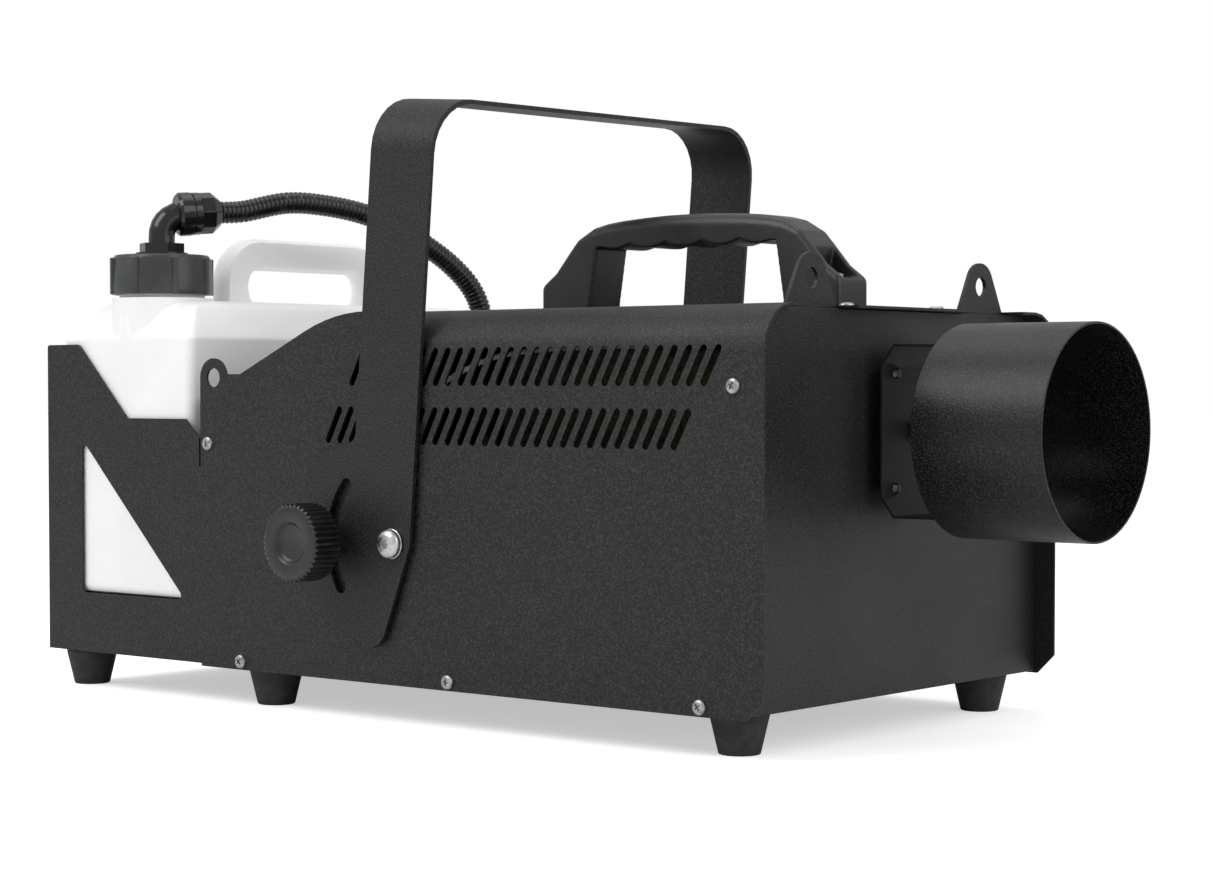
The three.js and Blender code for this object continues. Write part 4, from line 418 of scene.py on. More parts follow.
def moulded_plastic(name, dark, light, roughness, grit_mm, relief_mm=0.03):
    """Injection-moulded plastic with a spark-eroded texture: an even sheen, slightly grey from its grit."""
    material, tree, surface, place = new_material(name)
    grit = add(tree, "ShaderNodeTexNoise", [("Vector", place)], Scale=1 / (grit_mm * MM), Detail=2.0)
    cloud = add(
        tree, "ShaderNodeTexNoise", [("Vector", place)], Scale=1 / (PLASTIC_CLOUD * MM), Detail=2.0
    )
    colour = add(tree, "ShaderNodeValToRGB", [("Fac", cloud.outputs["Fac"])], [(0.35, dark), (0.65, light)])
    rough = add(
        tree, "ShaderNodeMapRange", [("Value", cloud.outputs["Fac"])],
        From_Min=NOISE_LOW, From_Max=NOISE_HIGH, To_Min=roughness - 0.04, To_Max=roughness + 0.04,
    )
    relief = add(
        tree, "ShaderNodeBump", [("Height", grit.outputs["Fac"])],
        Strength=0.5, Distance=relief_mm * MM,
    )
    shader = add(
        tree, "ShaderNodeBsdfPrincipled",
        [("Base Color", colour.outputs["Color"]), ("Roughness", rough.outputs["Result"]),
         ("Normal", relief.outputs["Normal"])],
        IOR=1.52,
    )
    tree.links.new(shader.outputs["BSDF"], surface)
    return material


def ribbed_conduit(name, dark, light):
    """Extruded nylon conduit: wet-looking gloss with no grit, so each rib carries its own bright line."""
    material, tree, surface, place = new_material(name)
    cloud = add(
        tree, "ShaderNodeTexNoise", [("Vector", place)], Scale=1 / (CONDUIT_CLOUD * MM), Detail=2.0
    )
    colour = add(tree, "ShaderNodeValToRGB", [("Fac", cloud.outputs["Fac"])], [(0.35, dark), (0.65, light)])
    rough = add(
        tree, "ShaderNodeMapRange", [("Value", cloud.outputs["Fac"])],
        From_Min=NOISE_LOW, From_Max=NOISE_HIGH, To_Min=0.2, To_Max=0.27,
    )
    shader = add(
        tree, "ShaderNodeBsdfPrincipled",
        [("Base Color", colour.outputs["Color"]), ("Roughness", rough.outputs["Result"])],
        IOR=1.53,
    )
    tree.links.new(shader.outputs["BSDF"], surface)
    return material


def bright_metal(name, dark, light, roughness, edge_mm):
    """Plated or turned metal: cool or warm, with faint cloudy patches that soften its reflections."""
    material, tree, surface, place = new_material(name)
    cloud = add(tree, "ShaderNodeTexNoise", [("Vector", place)], Scale=1 / (METAL_CLOUD * MM), Detail=3.0)
    colour = add(tree, "ShaderNodeValToRGB", [("Fac", cloud.outputs["Fac"])], [(0.35, dark), (0.65, light)])
    rough = add(
        tree, "ShaderNodeMapRange", [("Value", cloud.outputs["Fac"])],
        From_Min=NOISE_LOW, From_Max=NOISE_HIGH, To_Min=roughness - 0.06, To_Max=roughness + 0.08,
    )
    edge = add(tree, "ShaderNodeBevel", samples=6, Radius=edge_mm * MM)
    relief = add(
        tree, "ShaderNodeBump", [("Height", cloud.outputs["Fac"]), ("Normal", edge.outputs["Normal"])],
        Strength=0.3, Distance=0.02 * MM,
    )
    shader = add(
        tree, "ShaderNodeBsdfPrincipled",
        [("Base Color", colour.outputs["Color"]), ("Roughness", rough.outputs["Result"]),
         ("Normal", relief.outputs["Normal"])],
        Metallic=1.0,
    )
    tree.links.new(shader.outputs["BSDF"], surface)
    return material


def natural_polyethylene(name):
    """Blow-moulded natural HDPE: milky white that light soaks into a little, with a waxy sheen."""
    material, tree, surface, place = new_material(name)
    flow = add(tree, "ShaderNodeTexNoise", [("Vector", place)], Scale=1 / (TANK_FLOW * MM), Detail=3.0)
    peel = add(tree, "ShaderNodeTexNoise", [("Vector", place)], Scale=1 / (TANK_PEEL * MM), Detail=2.0)
    colour = add(
        tree, "ShaderNodeValToRGB", [("Fac", flow.outputs["Fac"])], [(0.35, 0xF3F3F2), (0.65, TANK_LIGHT)]
    )
    relief = add(tree, "ShaderNodeBump", [("Height", peel.outputs["Fac"])], Strength=0.2, Distance=0.05 * MM)
    shader = add(
        tree, "ShaderNodeBsdfPrincipled",
        [("Base Color", colour.outputs["Color"]), ("Normal", relief.outputs["Normal"])],
        Roughness=0.42, IOR=1.5,
        Subsurface_Weight=0.25, Subsurface_Radius=(1.0, 0.95, 0.9), Subsurface_Scale=0.003,
    )
    tree.links.new(shader.outputs["BSDF"], surface)
    return material


def rubber(name):
    """Moulded EPDM: dull, with a dry grey bloom."""
    material, tree, surface, place = new_material(name)
    bloom = add(tree, "ShaderNodeTexNoise", [("Vector", place)], Scale=1 / (RUBBER_BLOOM * MM), Detail=3.0)
    grit = add(tree, "ShaderNodeTexNoise", [("Vector", place)], Scale=1 / (RUBBER_GRIT * MM), Detail=2.0)
    colour = add(
        tree, "ShaderNodeValToRGB", [("Fac", bloom.outputs["Fac"])], [(0.35, 0x202020), (0.65, 0x2E2E2E)]
    )
    relief = add(tree, "ShaderNodeBump", [("Height", grit.outputs["Fac"])], Strength=0.5, Distance=0.04 * MM)
    shader = add(
        tree, "ShaderNodeBsdfPrincipled",
        [("Base Color", colour.outputs["Color"]), ("Normal", relief.outputs["Normal"])],
        Roughness=0.72, IOR=1.5,
    )
    tree.links.new(shader.outputs["BSDF"], surface)
    return material


def fibre_blanket(name):
    """Needled glass-fibre felt: matted strands, tan from binder burnt by the heater."""
    material, tree, surface, place = new_material(name)
    strands = add(
        tree, "ShaderNodeTexNoise", [("Vector", place)],
        Scale=1 / (BLANKET_STRANDS * MM), Detail=6.0, Distortion=1.8,
    )
    colour = add(
        tree, "ShaderNodeValToRGB", [("Fac", strands.outputs["Fac"])], [(0.3, 0x3A3125), (0.7, 0x7C6B50)]
    )
    relief = add(
        tree, "ShaderNodeBump", [("Height", strands.outputs["Fac"])], Strength=0.8, Distance=0.8 * MM
    )
    shader = add(
        tree, "ShaderNodeBsdfPrincipled",
        [("Base Color", colour.outputs["Color"]), ("Normal", relief.outputs["Normal"])],
        Roughness=0.95, Sheen_Weight=0.3,
    )
    tree.links.new(shader.outputs["BSDF"], surface)
    return material


# Each finish: its material's name, its dark and light colour, its roughness, and where it has them its
# grit and relief in mm. For metal the last number is the radius of its edges, mm.
FINISH = {
    "side_coat": powder_coat("powder_coated_steel_side", 0x070707, COAT_GLINT, 0.5),
    # The front's copy of the same black coat is darker as painted shade of the front face
    "front_coat_painted_shade": powder_coat("powder_coated_steel_front_painted_shade", 0x040404, 0x2A2A2A, 0.42),
    # The bracket's copy of the same black coat is near black as the duct's painted shadow
    "bracket_coat_painted_shadow": powder_coat("powder_coated_steel_bracket_painted_shadow", 0x010101, 0x0A0A0A, 0.55),
    "duct_coat": powder_coat("powder_coated_steel_duct", 0x030303, 0x323232, 0.36, 0.13),
    "grip": moulded_plastic("textured_abs_handle", 0x171718, 0x222223, 0.36, 1.0, 0.3),
    "knob": moulded_plastic("textured_abs_knob", 0x1B1B1C, 0x242425, 0.3, 0.6),
    "cap": moulded_plastic("moulded_polypropylene_cap", 0x303132, 0x3C3E3F, 0.33, 1.4),
    "nylon": moulded_plastic("glossy_nylon_fittings", 0x0E0E0F, 0x171718, 0.13, 2.0, 0.01),
    "hose": ribbed_conduit("convoluted_nylon_hose", 0x141415, HOSE_LIGHT),
    "zinc": bright_metal("bright_zinc_plated_steel", 0xB9BCBB, 0xD9DBD9, 0.28, 0.2),
    "nickel": bright_metal("nickel_plated_screws", 0x8F9191, 0xC6C8C7, 0.33, 0.12),
    "black_zinc": bright_metal("black_zinc_stand_offs", 0x4A4A4B, 0x707071, 0.4, 0.12),
    "brass": bright_metal("heat_blackened_brass", 0x332D25, 0x51473A, 0.5, 0.3),
    "aluminium": bright_metal("cast_aluminium", 0x8D8F91, 0xB5B7B9, 0.5, 0.3),
    "tank": natural_polyethylene("natural_polyethylene_tank"),
    "rubber": rubber("moulded_rubber_feet"),
    "window": ribbed_conduit("smoked_display_window", 0x0B0506, 0x120708),
    "segments": moulded_plastic("unlit_display_segments", 0x3A1416, 0x451A1C, 0.3, 2.0),
    "marks": moulded_plastic("white_printed_marks", 0xC8C8C4, 0xD4D4D0, 0.5, 2.0),
    "blanket": fibre_blanket("glass_fibre_blanket"),
    "silicone": moulded_plastic("white_silicone_wire", 0xE4E4E0, 0xF0F0EC, 0.5, 2.0),
    "board": moulded_plastic("green_solder_mask", 0x1F4A2C, 0x2C6140, 0.35, 1.0),
}

# The settings that hold a finish's light colour
COLOUR_SETTING = {"side_coat": "coat_glint_colour", "tank": "tank_colour", "hose": "hose_colour"}

# CAD nodes that keep their own mesh: flat or inner ones
NODE_FINISH = {
    "side_coat": ("bay_wall", "tank_shelf"),
    "nylon": ("elbow_nut",),
    "zinc": ("heater_stand", "pump"),
    "brass": ("nozzle", "heater_tube"),
    "aluminium": ("heater_block",),
    "tank": ("dip_tube", "feed_tube", "pivot_spacer_near", "pivot_spacer_far"),
    "rubber": ("cap_seal",),
    "blanket": ("heater_blanket",),
    "silicone": ("heater_wire",),
    "board": ("control_board",),
}

# CAD nodes rebuilt with joined, smooth faces: finish, how far their edges are eased in mm, and names
EASED = (
    ("side_coat", 0.3, ("cover", "base_tray", "yoke", "rear_panel")),
    ("front_coat_painted_shade", 0.3, ("front_plate", "rig_eye_near", "rig_eye_far")),
    ("bracket_coat_painted_shadow", 0.3, ("duct_bracket",)),
    ("duct_coat", 0.35, ("duct_tube",)),
    ("knob", 0.25, ("mains_inlet", "fuse_cap", "switch_bezel", "dmx_in", "dmx_out",
                    "button_1", "button_2", "button_3", "button_4")),
    ("cap", 0.5, ("tank_cap",)),
    ("nylon", 0.4, ("hose_elbow", "connector_nut", "hose_gland", "power_rocker", "display")),
    ("black_zinc", 0.2, ("duct_standoff_1", "duct_standoff_2", "duct_standoff_3", "duct_standoff_4")),
    ("tank", 1.5, ("tank_jug",)),
    ("rubber", 0.8, ("foot_front_near", "foot_middle_near", "foot_rear_near",
                     "foot_front_far", "foot_middle_far", "foot_rear_far")),
)

# The record's material slots, each with the finishes of new pieces that belong to it
SLOT_FINISHES = {
    "black_powder_coat": ("side_coat", "front_coat_painted_shade", "bracket_coat_painted_shadow", "duct_coat"),
    "matte_black_plastic": ("grip", "knob", "cap"),
    "gloss_black_plastic": ("nylon", "hose", "window", "segments", "marks"),
    "zinc_plate": ("zinc", "nickel", "black_zinc"),
    "natural_polyethylene": ("tank",),
    "black_rubber": ("rubber",),
}
SLOT = {finish: slot for slot, finishes in SLOT_FINISHES.items() for finish in finishes}


# Meshes


def turned(bm, profile, segments, place=Matrix(), rib=None):
    """Adds a body turned about Z from (radius, height) in mm, and returns its rings of points.

    A third number is the share of rib(angle), in mm, that is added to that ring's radius.
    """
    rings = []
    for radius, height, *rise in profile:
        ring = []
        for i in range(segments if radius else 1):
            angle = math.tau * i / segments
            reach = radius + (rise[0] * rib(angle) if rise and rib else 0)
            ring.append(bm.verts.new(place @ (Vector((math.cos(angle), math.sin(angle), 0)) * reach * MM
                                              + Vector((0, 0, height * MM)))))
        rings.append(ring)
    for low, high in zip(rings, rings[1:]):
        for i in range(segments):
            j = (i + 1) % segments
            corners = [low[i % len(low)], low[j % len(low)], high[j % len(high)], high[i % len(high)]]
            bm.faces.new(list(dict.fromkeys(corners)))
    return rings


def prism(bm, place, outline, levels):
    """Adds a closed prism: an outline in mm, scaled at each (height, scale) level."""
    rings = [[bm.verts.new(place @ (Vector((x * scale, y * scale, height)) * MM)) for x, y in outline]
             for height, scale in levels]
    bm.faces.new(rings[0][::-1])
    bm.faces.new(rings[-1])
    for low, high in zip(rings, rings[1:]):
        for k in range(len(outline)):
            j = (k + 1) % len(outline)
            bm.faces.new((low[k], low[j], high[j], high[k]))


def rectangle(half_width, half_height, x=0, y=0):
    """The corners of a rectangle round a point."""
    return [(x + i * half_width, y + j * half_height) for i, j in ((-1, -1), (1, -1), (1, 1), (-1, 1))]


def made(name, bm):
    """Closes a bmesh into a linked object with its faces outwards."""
    bmesh.ops.recalc_face_normals(bm, faces=bm.faces)
    mesh = bpy.data.meshes.new(name)
    bm.to_mesh(mesh)
    bm.free()
    item = bpy.data.objects.new(name, mesh)
    bpy.context.scene.collection.objects.link(item)
    return item


def apply_modifiers(item):
    """Keeps what an object's modifiers make of its mesh."""
    mesh = bpy.data.meshes.new_from_object(item.evaluated_get(bpy.context.evaluated_depsgraph_get()))
    item.modifiers.clear()
    item.data = mesh


def carved(item, cutter):
    """Cuts one object with another, which is then removed."""
    modifier = item.modifiers.new("cut", "BOOLEAN")
    modifier.operation = "DIFFERENCE"
    modifier.solver = "EXACT"
    modifier.object = cutter
    apply_modifiers(item)
    bpy.data.objects.remove(cutter)
    return item


def copies(name, source, places):
    """One object made of copies of another, which is then removed."""
    bm = bmesh.new()
    for place in places:
        start = len(bm.verts)
        bm.from_mesh(source.data)
        bm.verts.ensure_lookup_table()
        bmesh.ops.transform(bm, matrix=place, verts=bm.verts[start:])
    bpy.data.objects.remove(source)
    return made(name, bm)


def fit(item, finish, body, *nodes):
    """Gives a piece its finish, its body, its slot and the CAD nodes that it stands for."""
    item.data.materials.clear()
    item.data.materials.append(FINISH[finish])
    if not item.data.has_custom_normals:
        item.data.shade_smooth()
        item.data.set_sharp_from_angle(angle=SMOOTH)
    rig.ride(item, body)
    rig.slot(item, SLOT[finish])
    if nodes:
        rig.replaces(item, *nodes)
    return item


def welded(name):
    """A CAD node's mesh with its corners joined and its flat faces whole."""
    bm = bmesh.new()
    bm.from_mesh(NODES[name].data)
    bmesh.ops.remove_doubles(bm, verts=bm.verts, dist=WELD * MM)
    bmesh.ops.dissolve_limit(bm, angle_limit=FLAT, verts=bm.verts, edges=bm.edges)
    return bm


def read_off(points, place):
    """The value at a place between given points."""
    for (a, low), (b, high) in zip(points, points[1:]):
        if place <= b:
            return low + (high - low) * (place - a) / (b - a)
    return points[-1][1]


def vent_cutter():
    """Every vent as a prism through both sides of the cover."""
    bm = bmesh.new()
    along = VENT_LEAN.normalized()
    across = Vector((-along.y, along.x))
    reach = bpy.context.scene.fog_machine.vent_width / 2
    for row in range(VENT_ROWS):
        for i in range(VENT_COUNT):
            upper = Vector((
                COVER_FRONT - VENT_FRONT - i * VENT_PITCH - row * VENT_ROW_SHIFT,
                COVER_HIGH.z / MM - VENT_DROP - row * VENT_ROW_DROP,
            ))
            outline = []
            for end, way in ((upper, 1), (upper - VENT_LEAN, -1)):
                for step in range(VENT_END_STEPS + 1):
                    angle = math.pi * (step / VENT_END_STEPS - 0.5)
                    turned_out = along * math.cos(angle) + across * math.sin(angle)
                    outline.append(end - along * way * reach + turned_out * way * reach)
            reach_out = 2 * COVER_HIGH.y / MM
            prism(bm, Matrix.Rotation(math.pi / 2, 4, "X"), outline, ((-reach_out, 1), (reach_out, 1)))
    return made("vents", bm)


def rearwards(node):
    """The frame of a rear control: its origin on the panel's outer face, z out of the panel and y up."""
    low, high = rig.box(node)
    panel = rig.box("rear_panel")[0].x
    turn = Matrix(((0, 0, -1), (-1, 0, 0), (0, 1, 0))).to_4x4()
    return Matrix.Translation((panel, (low.y + high.y) / 2, (low.z + high.z) / 2)) @ turn


def tongue_cutter():
    """Takes the tongue out of the mains inlet's well."""
    bm = bmesh.new()
    prism(bm, rearwards("mains_inlet"), rectangle(*INLET_TONGUE), ((-INLET_WELL, 1), (PLATE_RISE + CLEAR, 1)))
    return made("tongue", bm)


def socket_cutter():
    """Three contact holes in the plug of the female jack."""
    bm = bmesh.new()
    for x, y in JACK_CONTACTS:
        place = rearwards("dmx_out") @ Matrix.Translation(Vector((x, y, 0)) * MM)
        top = PLATE_RISE + CLEAR
        profile = ((0, -JACK_WELL), (JACK_SOCKET, -JACK_WELL), (JACK_SOCKET, top), (0, top))
        turned(bm, profile, JACK_SIDES, place)
    return made("sockets", bm)


CUTTERS = {"cover": vent_cutter, "mains_inlet": tongue_cutter, "dmx_out": socket_cutter}


def outwards(x, side, y, z):
    """Local Z turned to the machine's side, with its origin at a point in metres."""
    return Matrix.Translation((x, side * y, z)) @ Matrix.Rotation(-side * math.pi / 2, 4, "X")


def pan_head():
    """A pan head with a cross recess, its underside just under z = 0."""
    bm = bmesh.new()
    dome = [(radius * SCREW_RADIUS, rise * SCREW_RISE) for radius, rise in SCREW_DOME]
    turned(bm, ((0, -SCREW_SEAT), (SCREW_RADIUS, -SCREW_SEAT), *dome), SCREW_SIDES)
    head = made("screw", bm)
    for turn in (0, math.pi / 2):
        bm = bmesh.new()
        bmesh.ops.create_cube(bm, size=2)
        for vert in bm.verts:
            foot = vert.co.z < 0
            narrow = RECESS_TAPER if foot else 1.0
            height = SCREW_RISE - RECESS_DEPTH if foot else SCREW_RISE + CLEAR
            vert.co = Vector((
                vert.co.x * RECESS_ARM * narrow * MM, vert.co.y * RECESS_HALF * narrow * MM, height * MM,
            ))
        bmesh.ops.rotate(bm, matrix=Matrix.Rotation(turn, 3, "Z"), verts=bm.verts)
        head = carved(head, made("recess", bm))
    return head


# Operators


class FogMachineSettings(bpy.types.PropertyGroup):
    """Sizes, colours, camera and light that a user may want to change."""

    lens: FloatProperty(
        name="Lens", description="Focal length on a 36 mm sensor", unit="CAMERA", default=76.7
    )
    azimuth: FloatProperty(
        name="Azimuth", description="Camera's turn about the machine", subtype="ANGLE",
        default=math.radians(39.62),
    )
    pitch: FloatProperty(
        name="Pitch", description="Camera's look down", subtype="ANGLE", default=math.radians(1.89)
    )
    eye: FloatVectorProperty(
        name="Eye", description="Camera's place", subtype="XYZ", unit="LENGTH",
        default=(1.0261, -1.2299, 0.1977),
    )
    key_power: FloatProperty(name="Key power", description="Main softbox", unit="POWER", default=18.0)
    sky: FloatProperty(name="Sky", description="Level of the soft light from all round", default=0.64)
    knob_ribs: IntProperty(name="Knob ribs", description="Ribs round each knob", default=KNOB_RIBS)
    vent_width: FloatProperty(
        name="Vent width", description="Width of the cover's slots, mm", default=VENT_WIDTH
    )
    hose_pitch: FloatProperty(
        name="Hose pitch", description="From one rib of the hose to the next, mm", default=HOSE_PITCH
    )
    # The coat's light colour is that of its painted glint specks
    coat_glint_colour: FloatVectorProperty(
        name="Coat", description="Light specks of the cover's coat", subtype="COLOR",
        default=linear(COAT_GLINT)[:3],
    )
    tank_colour: FloatVectorProperty(
        name="Tank", description="Light colour of the tank", subtype="COLOR",
        default=linear(TANK_LIGHT)[:3],
    )
    hose_colour: FloatVectorProperty(
        name="Hose", description="Light colour of the hose", subtype="COLOR",
        default=linear(HOSE_LIGHT)[:3],
    )


class FOG_OT_camera(bpy.types.Operator):
    """Places the camera at the photograph's view"""

    bl_idname = "fog.camera"
    bl_label = "Camera"

    def execute(self, context):
        settings = context.scene.fog_machine
        data = bpy.data.cameras.new("camera")
        data.lens = settings.lens
        data.sensor_width = SENSOR_WIDTH
        data.shift_y = CAMERA_SHIFT
        data.clip_end = CAMERA_REACH
        camera = bpy.data.objects.new("camera", data)
        camera.location = settings.eye
        camera.rotation_euler = (math.pi / 2 - settings.pitch, 0, settings.azimuth)
        context.scene.collection.objects.link(camera)
        context.scene.camera = camera
        return {"FINISHED"}


def hose_line():
    """The hose's middle line in metres: a centripetal spline through the route, as the solid's is."""
    points = []
    for along, height in HOSE_ROUTE:
        x = HOSE_NECK[0] + along * math.cos(HOSE_HEADING) + COVER_FRONT
        y = HOSE_NECK[1] + along * math.sin(HOSE_HEADING)
        points.append(Vector((x, y, height)) * MM)
    points = [2 * points[0] - points[1], *points, 2 * points[-1] - points[-2]]
    line = []
    for a, b, c, d in zip(points, points[1:], points[2:], points[3:]):
        before, here, after = ((q - p).length ** 0.5 for p, q in ((a, b), (b, c), (c, d)))
        leave = ((b - a) / before - (c - a) / (before + here) + (c - b) / here) * here
        arrive = ((c - b) / here - (d - b) / (here + after) + (d - c) / after) * here
        for i in range(HOSE_STEPS):
            t = i / HOSE_STEPS
            line.append((2 * t**3 - 3 * t**2 + 1) * b + (t**3 - 2 * t**2 + t) * leave
                        + (3 * t**2 - 2 * t**3) * c + (t**3 - t**2) * arrive)
    return [*line, points[-2]]


class FOG_OT_hose(bpy.types.Operator):
    """Builds the ribbed fluid hose from the connector to the gland"""

    bl_idname = "fog.hose"
    bl_label = "Hose"

    def execute(self, context):
        line = hose_line()
        lengths = [0.0]
        for a, b in zip(line, line[1:]):
            lengths.append(lengths[-1] + (b - a).length)
        total = lengths[-1]
        ribs = round(total / (context.scene.fog_machine.hose_pitch * MM))
        across = Vector((-math.sin(HOSE_HEADING), math.cos(HOSE_HEADING), 0))
        bm = bmesh.new()

        def ring(distance, radius):
            """Adds a ring of points round the middle line."""
            i = max(k for k in range(len(line) - 1) if lengths[k] <= distance)
            share = (distance - lengths[i]) / (lengths[i + 1] - lengths[i])
            middle = line[i].lerp(line[i + 1], share)
            up = (line[i + 1] - line[i]).normalized().cross(across)
            return [
                bm.verts.new(middle + (across * math.cos(a) + up * math.sin(a)) * radius * MM)
                for a in (math.tau * k / HOSE_SIDES for k in range(HOSE_SIDES))
            ]

        skin = []
        for rib in range(ribs):
            for place, rise in HOSE_RIB:
                radius = HOSE_VALLEY + rise * (HOSE_RADIUS - HOSE_VALLEY)
                skin.append(ring((rib + place) / ribs * total, radius))
        skin.append(ring(total, HOSE_VALLEY))
        bore = [ring(rib / ribs * total, HOSE_BORE) for rib in range(ribs, -1, -1)]
        rings = [*skin, *bore, skin[0]]
        for a, b in zip(rings, rings[1:]):
            for k in range(HOSE_SIDES):
                j = (k + 1) % HOSE_SIDES
                bm.faces.new((a[k], a[j], b[j], b[k]))
        hose = fit(made("ribbed_hose", bm), "hose", "body", "fluid_hose")
        path = [tuple(p) for p in line[::HOSE_STATED]]
        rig.cord(
            hose, exit=path[0], length=HOSE_LENGTH, diameter=2 * HOSE_RADIUS * MM, far_end="object",
            stiffness="stiff", lay="taut", path=path,
        )
        return {"FINISHED"}


class FOG_OT_finishes(bpy.types.Operator):
    """Gives the finishes their colours, and the CAD nodes that keep their own mesh their finish"""

    bl_idname = "fog.finishes"
    bl_label = "Finishes"

    def execute(self, context):
        for finish, setting in COLOUR_SETTING.items():
            nodes = FINISH[finish].node_tree.nodes
            ramp = next(node for node in nodes if node.bl_idname == "ShaderNodeValToRGB").color_ramp
            ramp.elements[-1].color = (*getattr(context.scene.fog_machine, setting), 1.0)
        for finish, names in NODE_FINISH.items():
            for name in names:
                mesh = NODES[name].data
                mesh.materials.clear()
                mesh.materials.append(FINISH[finish])
                mesh.shade_smooth()
                mesh.set_sharp_from_angle(angle=SMOOTH)
        return {"FINISHED"}


class FOG_OT_eased_forms(bpy.types.Operator):
    """Rebuilds the folded, turned and moulded forms with joined faces, eased edges and smooth shading"""

    bl_idname = "fog.eased_forms"
    bl_label = "Eased Forms"

    def execute(self, context):
        for finish, ease, names in EASED:
            for name in names:
                item = made(f"{name}_eased", welded(name))
                if name in CUTTERS:
                    carved(item, CUTTERS[name]())
                edges = item.modifiers.new("ease", "BEVEL")
                edges.width = ease * MM
                edges.segments = EASE_SEGMENTS
                edges.angle_limit = SMOOTH
                apply_modifiers(item)
                item.data.shade_smooth()
                item.data.set_sharp_from_angle(angle=SMOOTH)
                weights = item.modifiers.new("normals", "WEIGHTED_NORMAL")
                weights.keep_sharp = True
                apply_modifiers(item)
                fit(item, finish, NODES[name]["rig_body"], name)
        return {"FINISHED"}


class FOG_OT_handle(bpy.types.Operator):
    """Builds the moulded handle with its arched top, full round grip and soft edges"""

    bl_idname = "fog.handle"
    bl_label = "Handle"

    def execute(self, context):
        low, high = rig.box("handle")
        middle = (low + high) / 2
        item = made("moulded_handle", welded("handle"))
        even = item.modifiers.new("even", "REMESH")
        even.mode = "VOXEL"
        even.voxel_size = HANDLE_GRAIN * MM
        apply_modifiers(item)
        half_width = (high.y - low.y) / 2 / MM
        for vertex in item.data.vertices:
            share = abs(vertex.co.x - middle.x) / MM / HANDLE_HALF
            height = (vertex.co.z - low.z) / MM
            solid_top = read_off(HANDLE_OUTLINE, share) * HANDLE_HEIGHT
            top = read_off(HANDLE_ARCH, share) * HANDLE_HEIGHT
            under = HANDLE_HEIGHT - HANDLE_GRIP
            if height > under:
                height += (top - solid_top) * (height - under) / (solid_top - under)
            roll = read_off(HANDLE_ROLL, share)
            side = vertex.co.y - middle.y
            out = abs(side) / MM - (half_width - roll)
            rise = height - (top - roll)
            if roll and out > 0 and rise > 0 and math.hypot(out, rise) > roll:
                inwards = roll / math.hypot(out, rise)
                height = top - roll + rise * inwards
                vertex.co.y = middle.y + math.copysign(half_width - roll + out * inwards, side) * MM
            vertex.co.z = low.z + height * MM
        soft = item.modifiers.new("soft", "SMOOTH")
        soft.factor = HANDLE_SOFTNESS
        soft.iterations = HANDLE_PASSES
        fewer = item.modifiers.new("fewer", "DECIMATE")
        fewer.ratio = HANDLE_KEPT
        apply_modifiers(item)
        fit(item, "grip", "body", "handle")
        return {"FINISHED"}


class FOG_OT_screws(bpy.types.Operator):
    """Puts pan-head screws in the cover's sides and top, and in the handle's pockets"""

    bl_idname = "fog.screws"
    bl_label = "Screws"

    def execute(self, context):
        half = COVER_HIGH.y
        places = []
        for i, (x, z) in enumerate(SIDE_SCREWS):
            for side in (NEAR, FAR):
                turn = Matrix.Rotation(SIDE_SCREW_TURN * i + side, 4, "Z")
                places.append(outwards((COVER_FRONT + x) * MM, side, half, z * MM) @ turn)
        for side in (NEAR, FAR):
            top = Vector(((COVER_FRONT + TOP_SCREW_BACK) * MM, side * TOP_SCREW_SIDE * MM, COVER_HIGH.z))
            places.append(Matrix.Translation(top) @ Matrix.Rotation(TOP_SCREW_TURN * side, 4, "Z"))
        fit(copies("cover_screws", pan_head(), places), "nickel", "body")
        for node in ("handle_screw_front", "handle_screw_rear"):
            low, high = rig.box(node)
            seat = Vector(((low.x + high.x) / 2, (low.y + high.y) / 2, high.z - SCREW_RISE * MM))
            fit(copies(f"{node}_head", pan_head(), [Matrix.Translation(seat)]), "nickel", "body", node)
        return {"FINISHED"}


class FOG_OT_knobs(bpy.types.Operator):
    """Builds the two clamp knobs with rounded ribs and a dished face"""

    bl_idname = "fog.knobs"
    bl_label = "Knobs"

    def execute(self, context):
        ribs = context.scene.fog_machine.knob_ribs

        def rib(angle):
            """How far the rim stands out at an angle, mm."""
            return min(1.0, KNOB_RIB_MEAN + KNOB_RIB_SWING * math.cos(ribs * angle))

        for side, node in ((NEAR, "knob_near"), (FAR, "knob_far")):
            low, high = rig.box(node)
            face = high.y if side == FAR else -low.y
            bm = bmesh.new()
            place = outwards((low.x + high.x) / 2, side, face - KNOB_REACH * MM, (low.z + high.z) / 2)
            turned(bm, KNOB_PROFILE, ribs * KNOB_RIB_STEPS, place, rib)
            fit(made(f"{node}_ribbed", bm), "knob", node, node)
        return {"FINISHED"}


class FOG_OT_pivot_bolts(bpy.types.Operator):
    """Builds the two button-head pivot bolts with their washers"""

    bl_idname = "fog.pivot_bolts"
    bl_label = "Pivot Bolts"

    def execute(self, context):
        for side, node in ((NEAR, "pivot_bolt_near"), (FAR, "pivot_bolt_far")):
            low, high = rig.box(node)
            face = high.y if side == FAR else -low.y
            place = outwards((low.x + high.x) / 2, side, face - BOLT_REACH * MM, (low.z + high.z) / 2)
            bm = bmesh.new()
            turned(bm, BOLT_PROFILE, BOLT_SIDES, place)
            bolt = made(f"{node}_button_head", bm)
            bm = bmesh.new()
            top = BOLT_PROFILE[-1][1]
            foot, mouth = top - SOCKET_DEPTH, top + CLEAR
            profile = ((0, foot), (SOCKET_RADIUS, foot), (SOCKET_RADIUS, mouth), (0, mouth))
            turned(bm, profile, SOCKET_SIDES, place)
            fit(carved(bolt, made("socket", bm)), "zinc", "body", node)
        return {"FINISHED"}


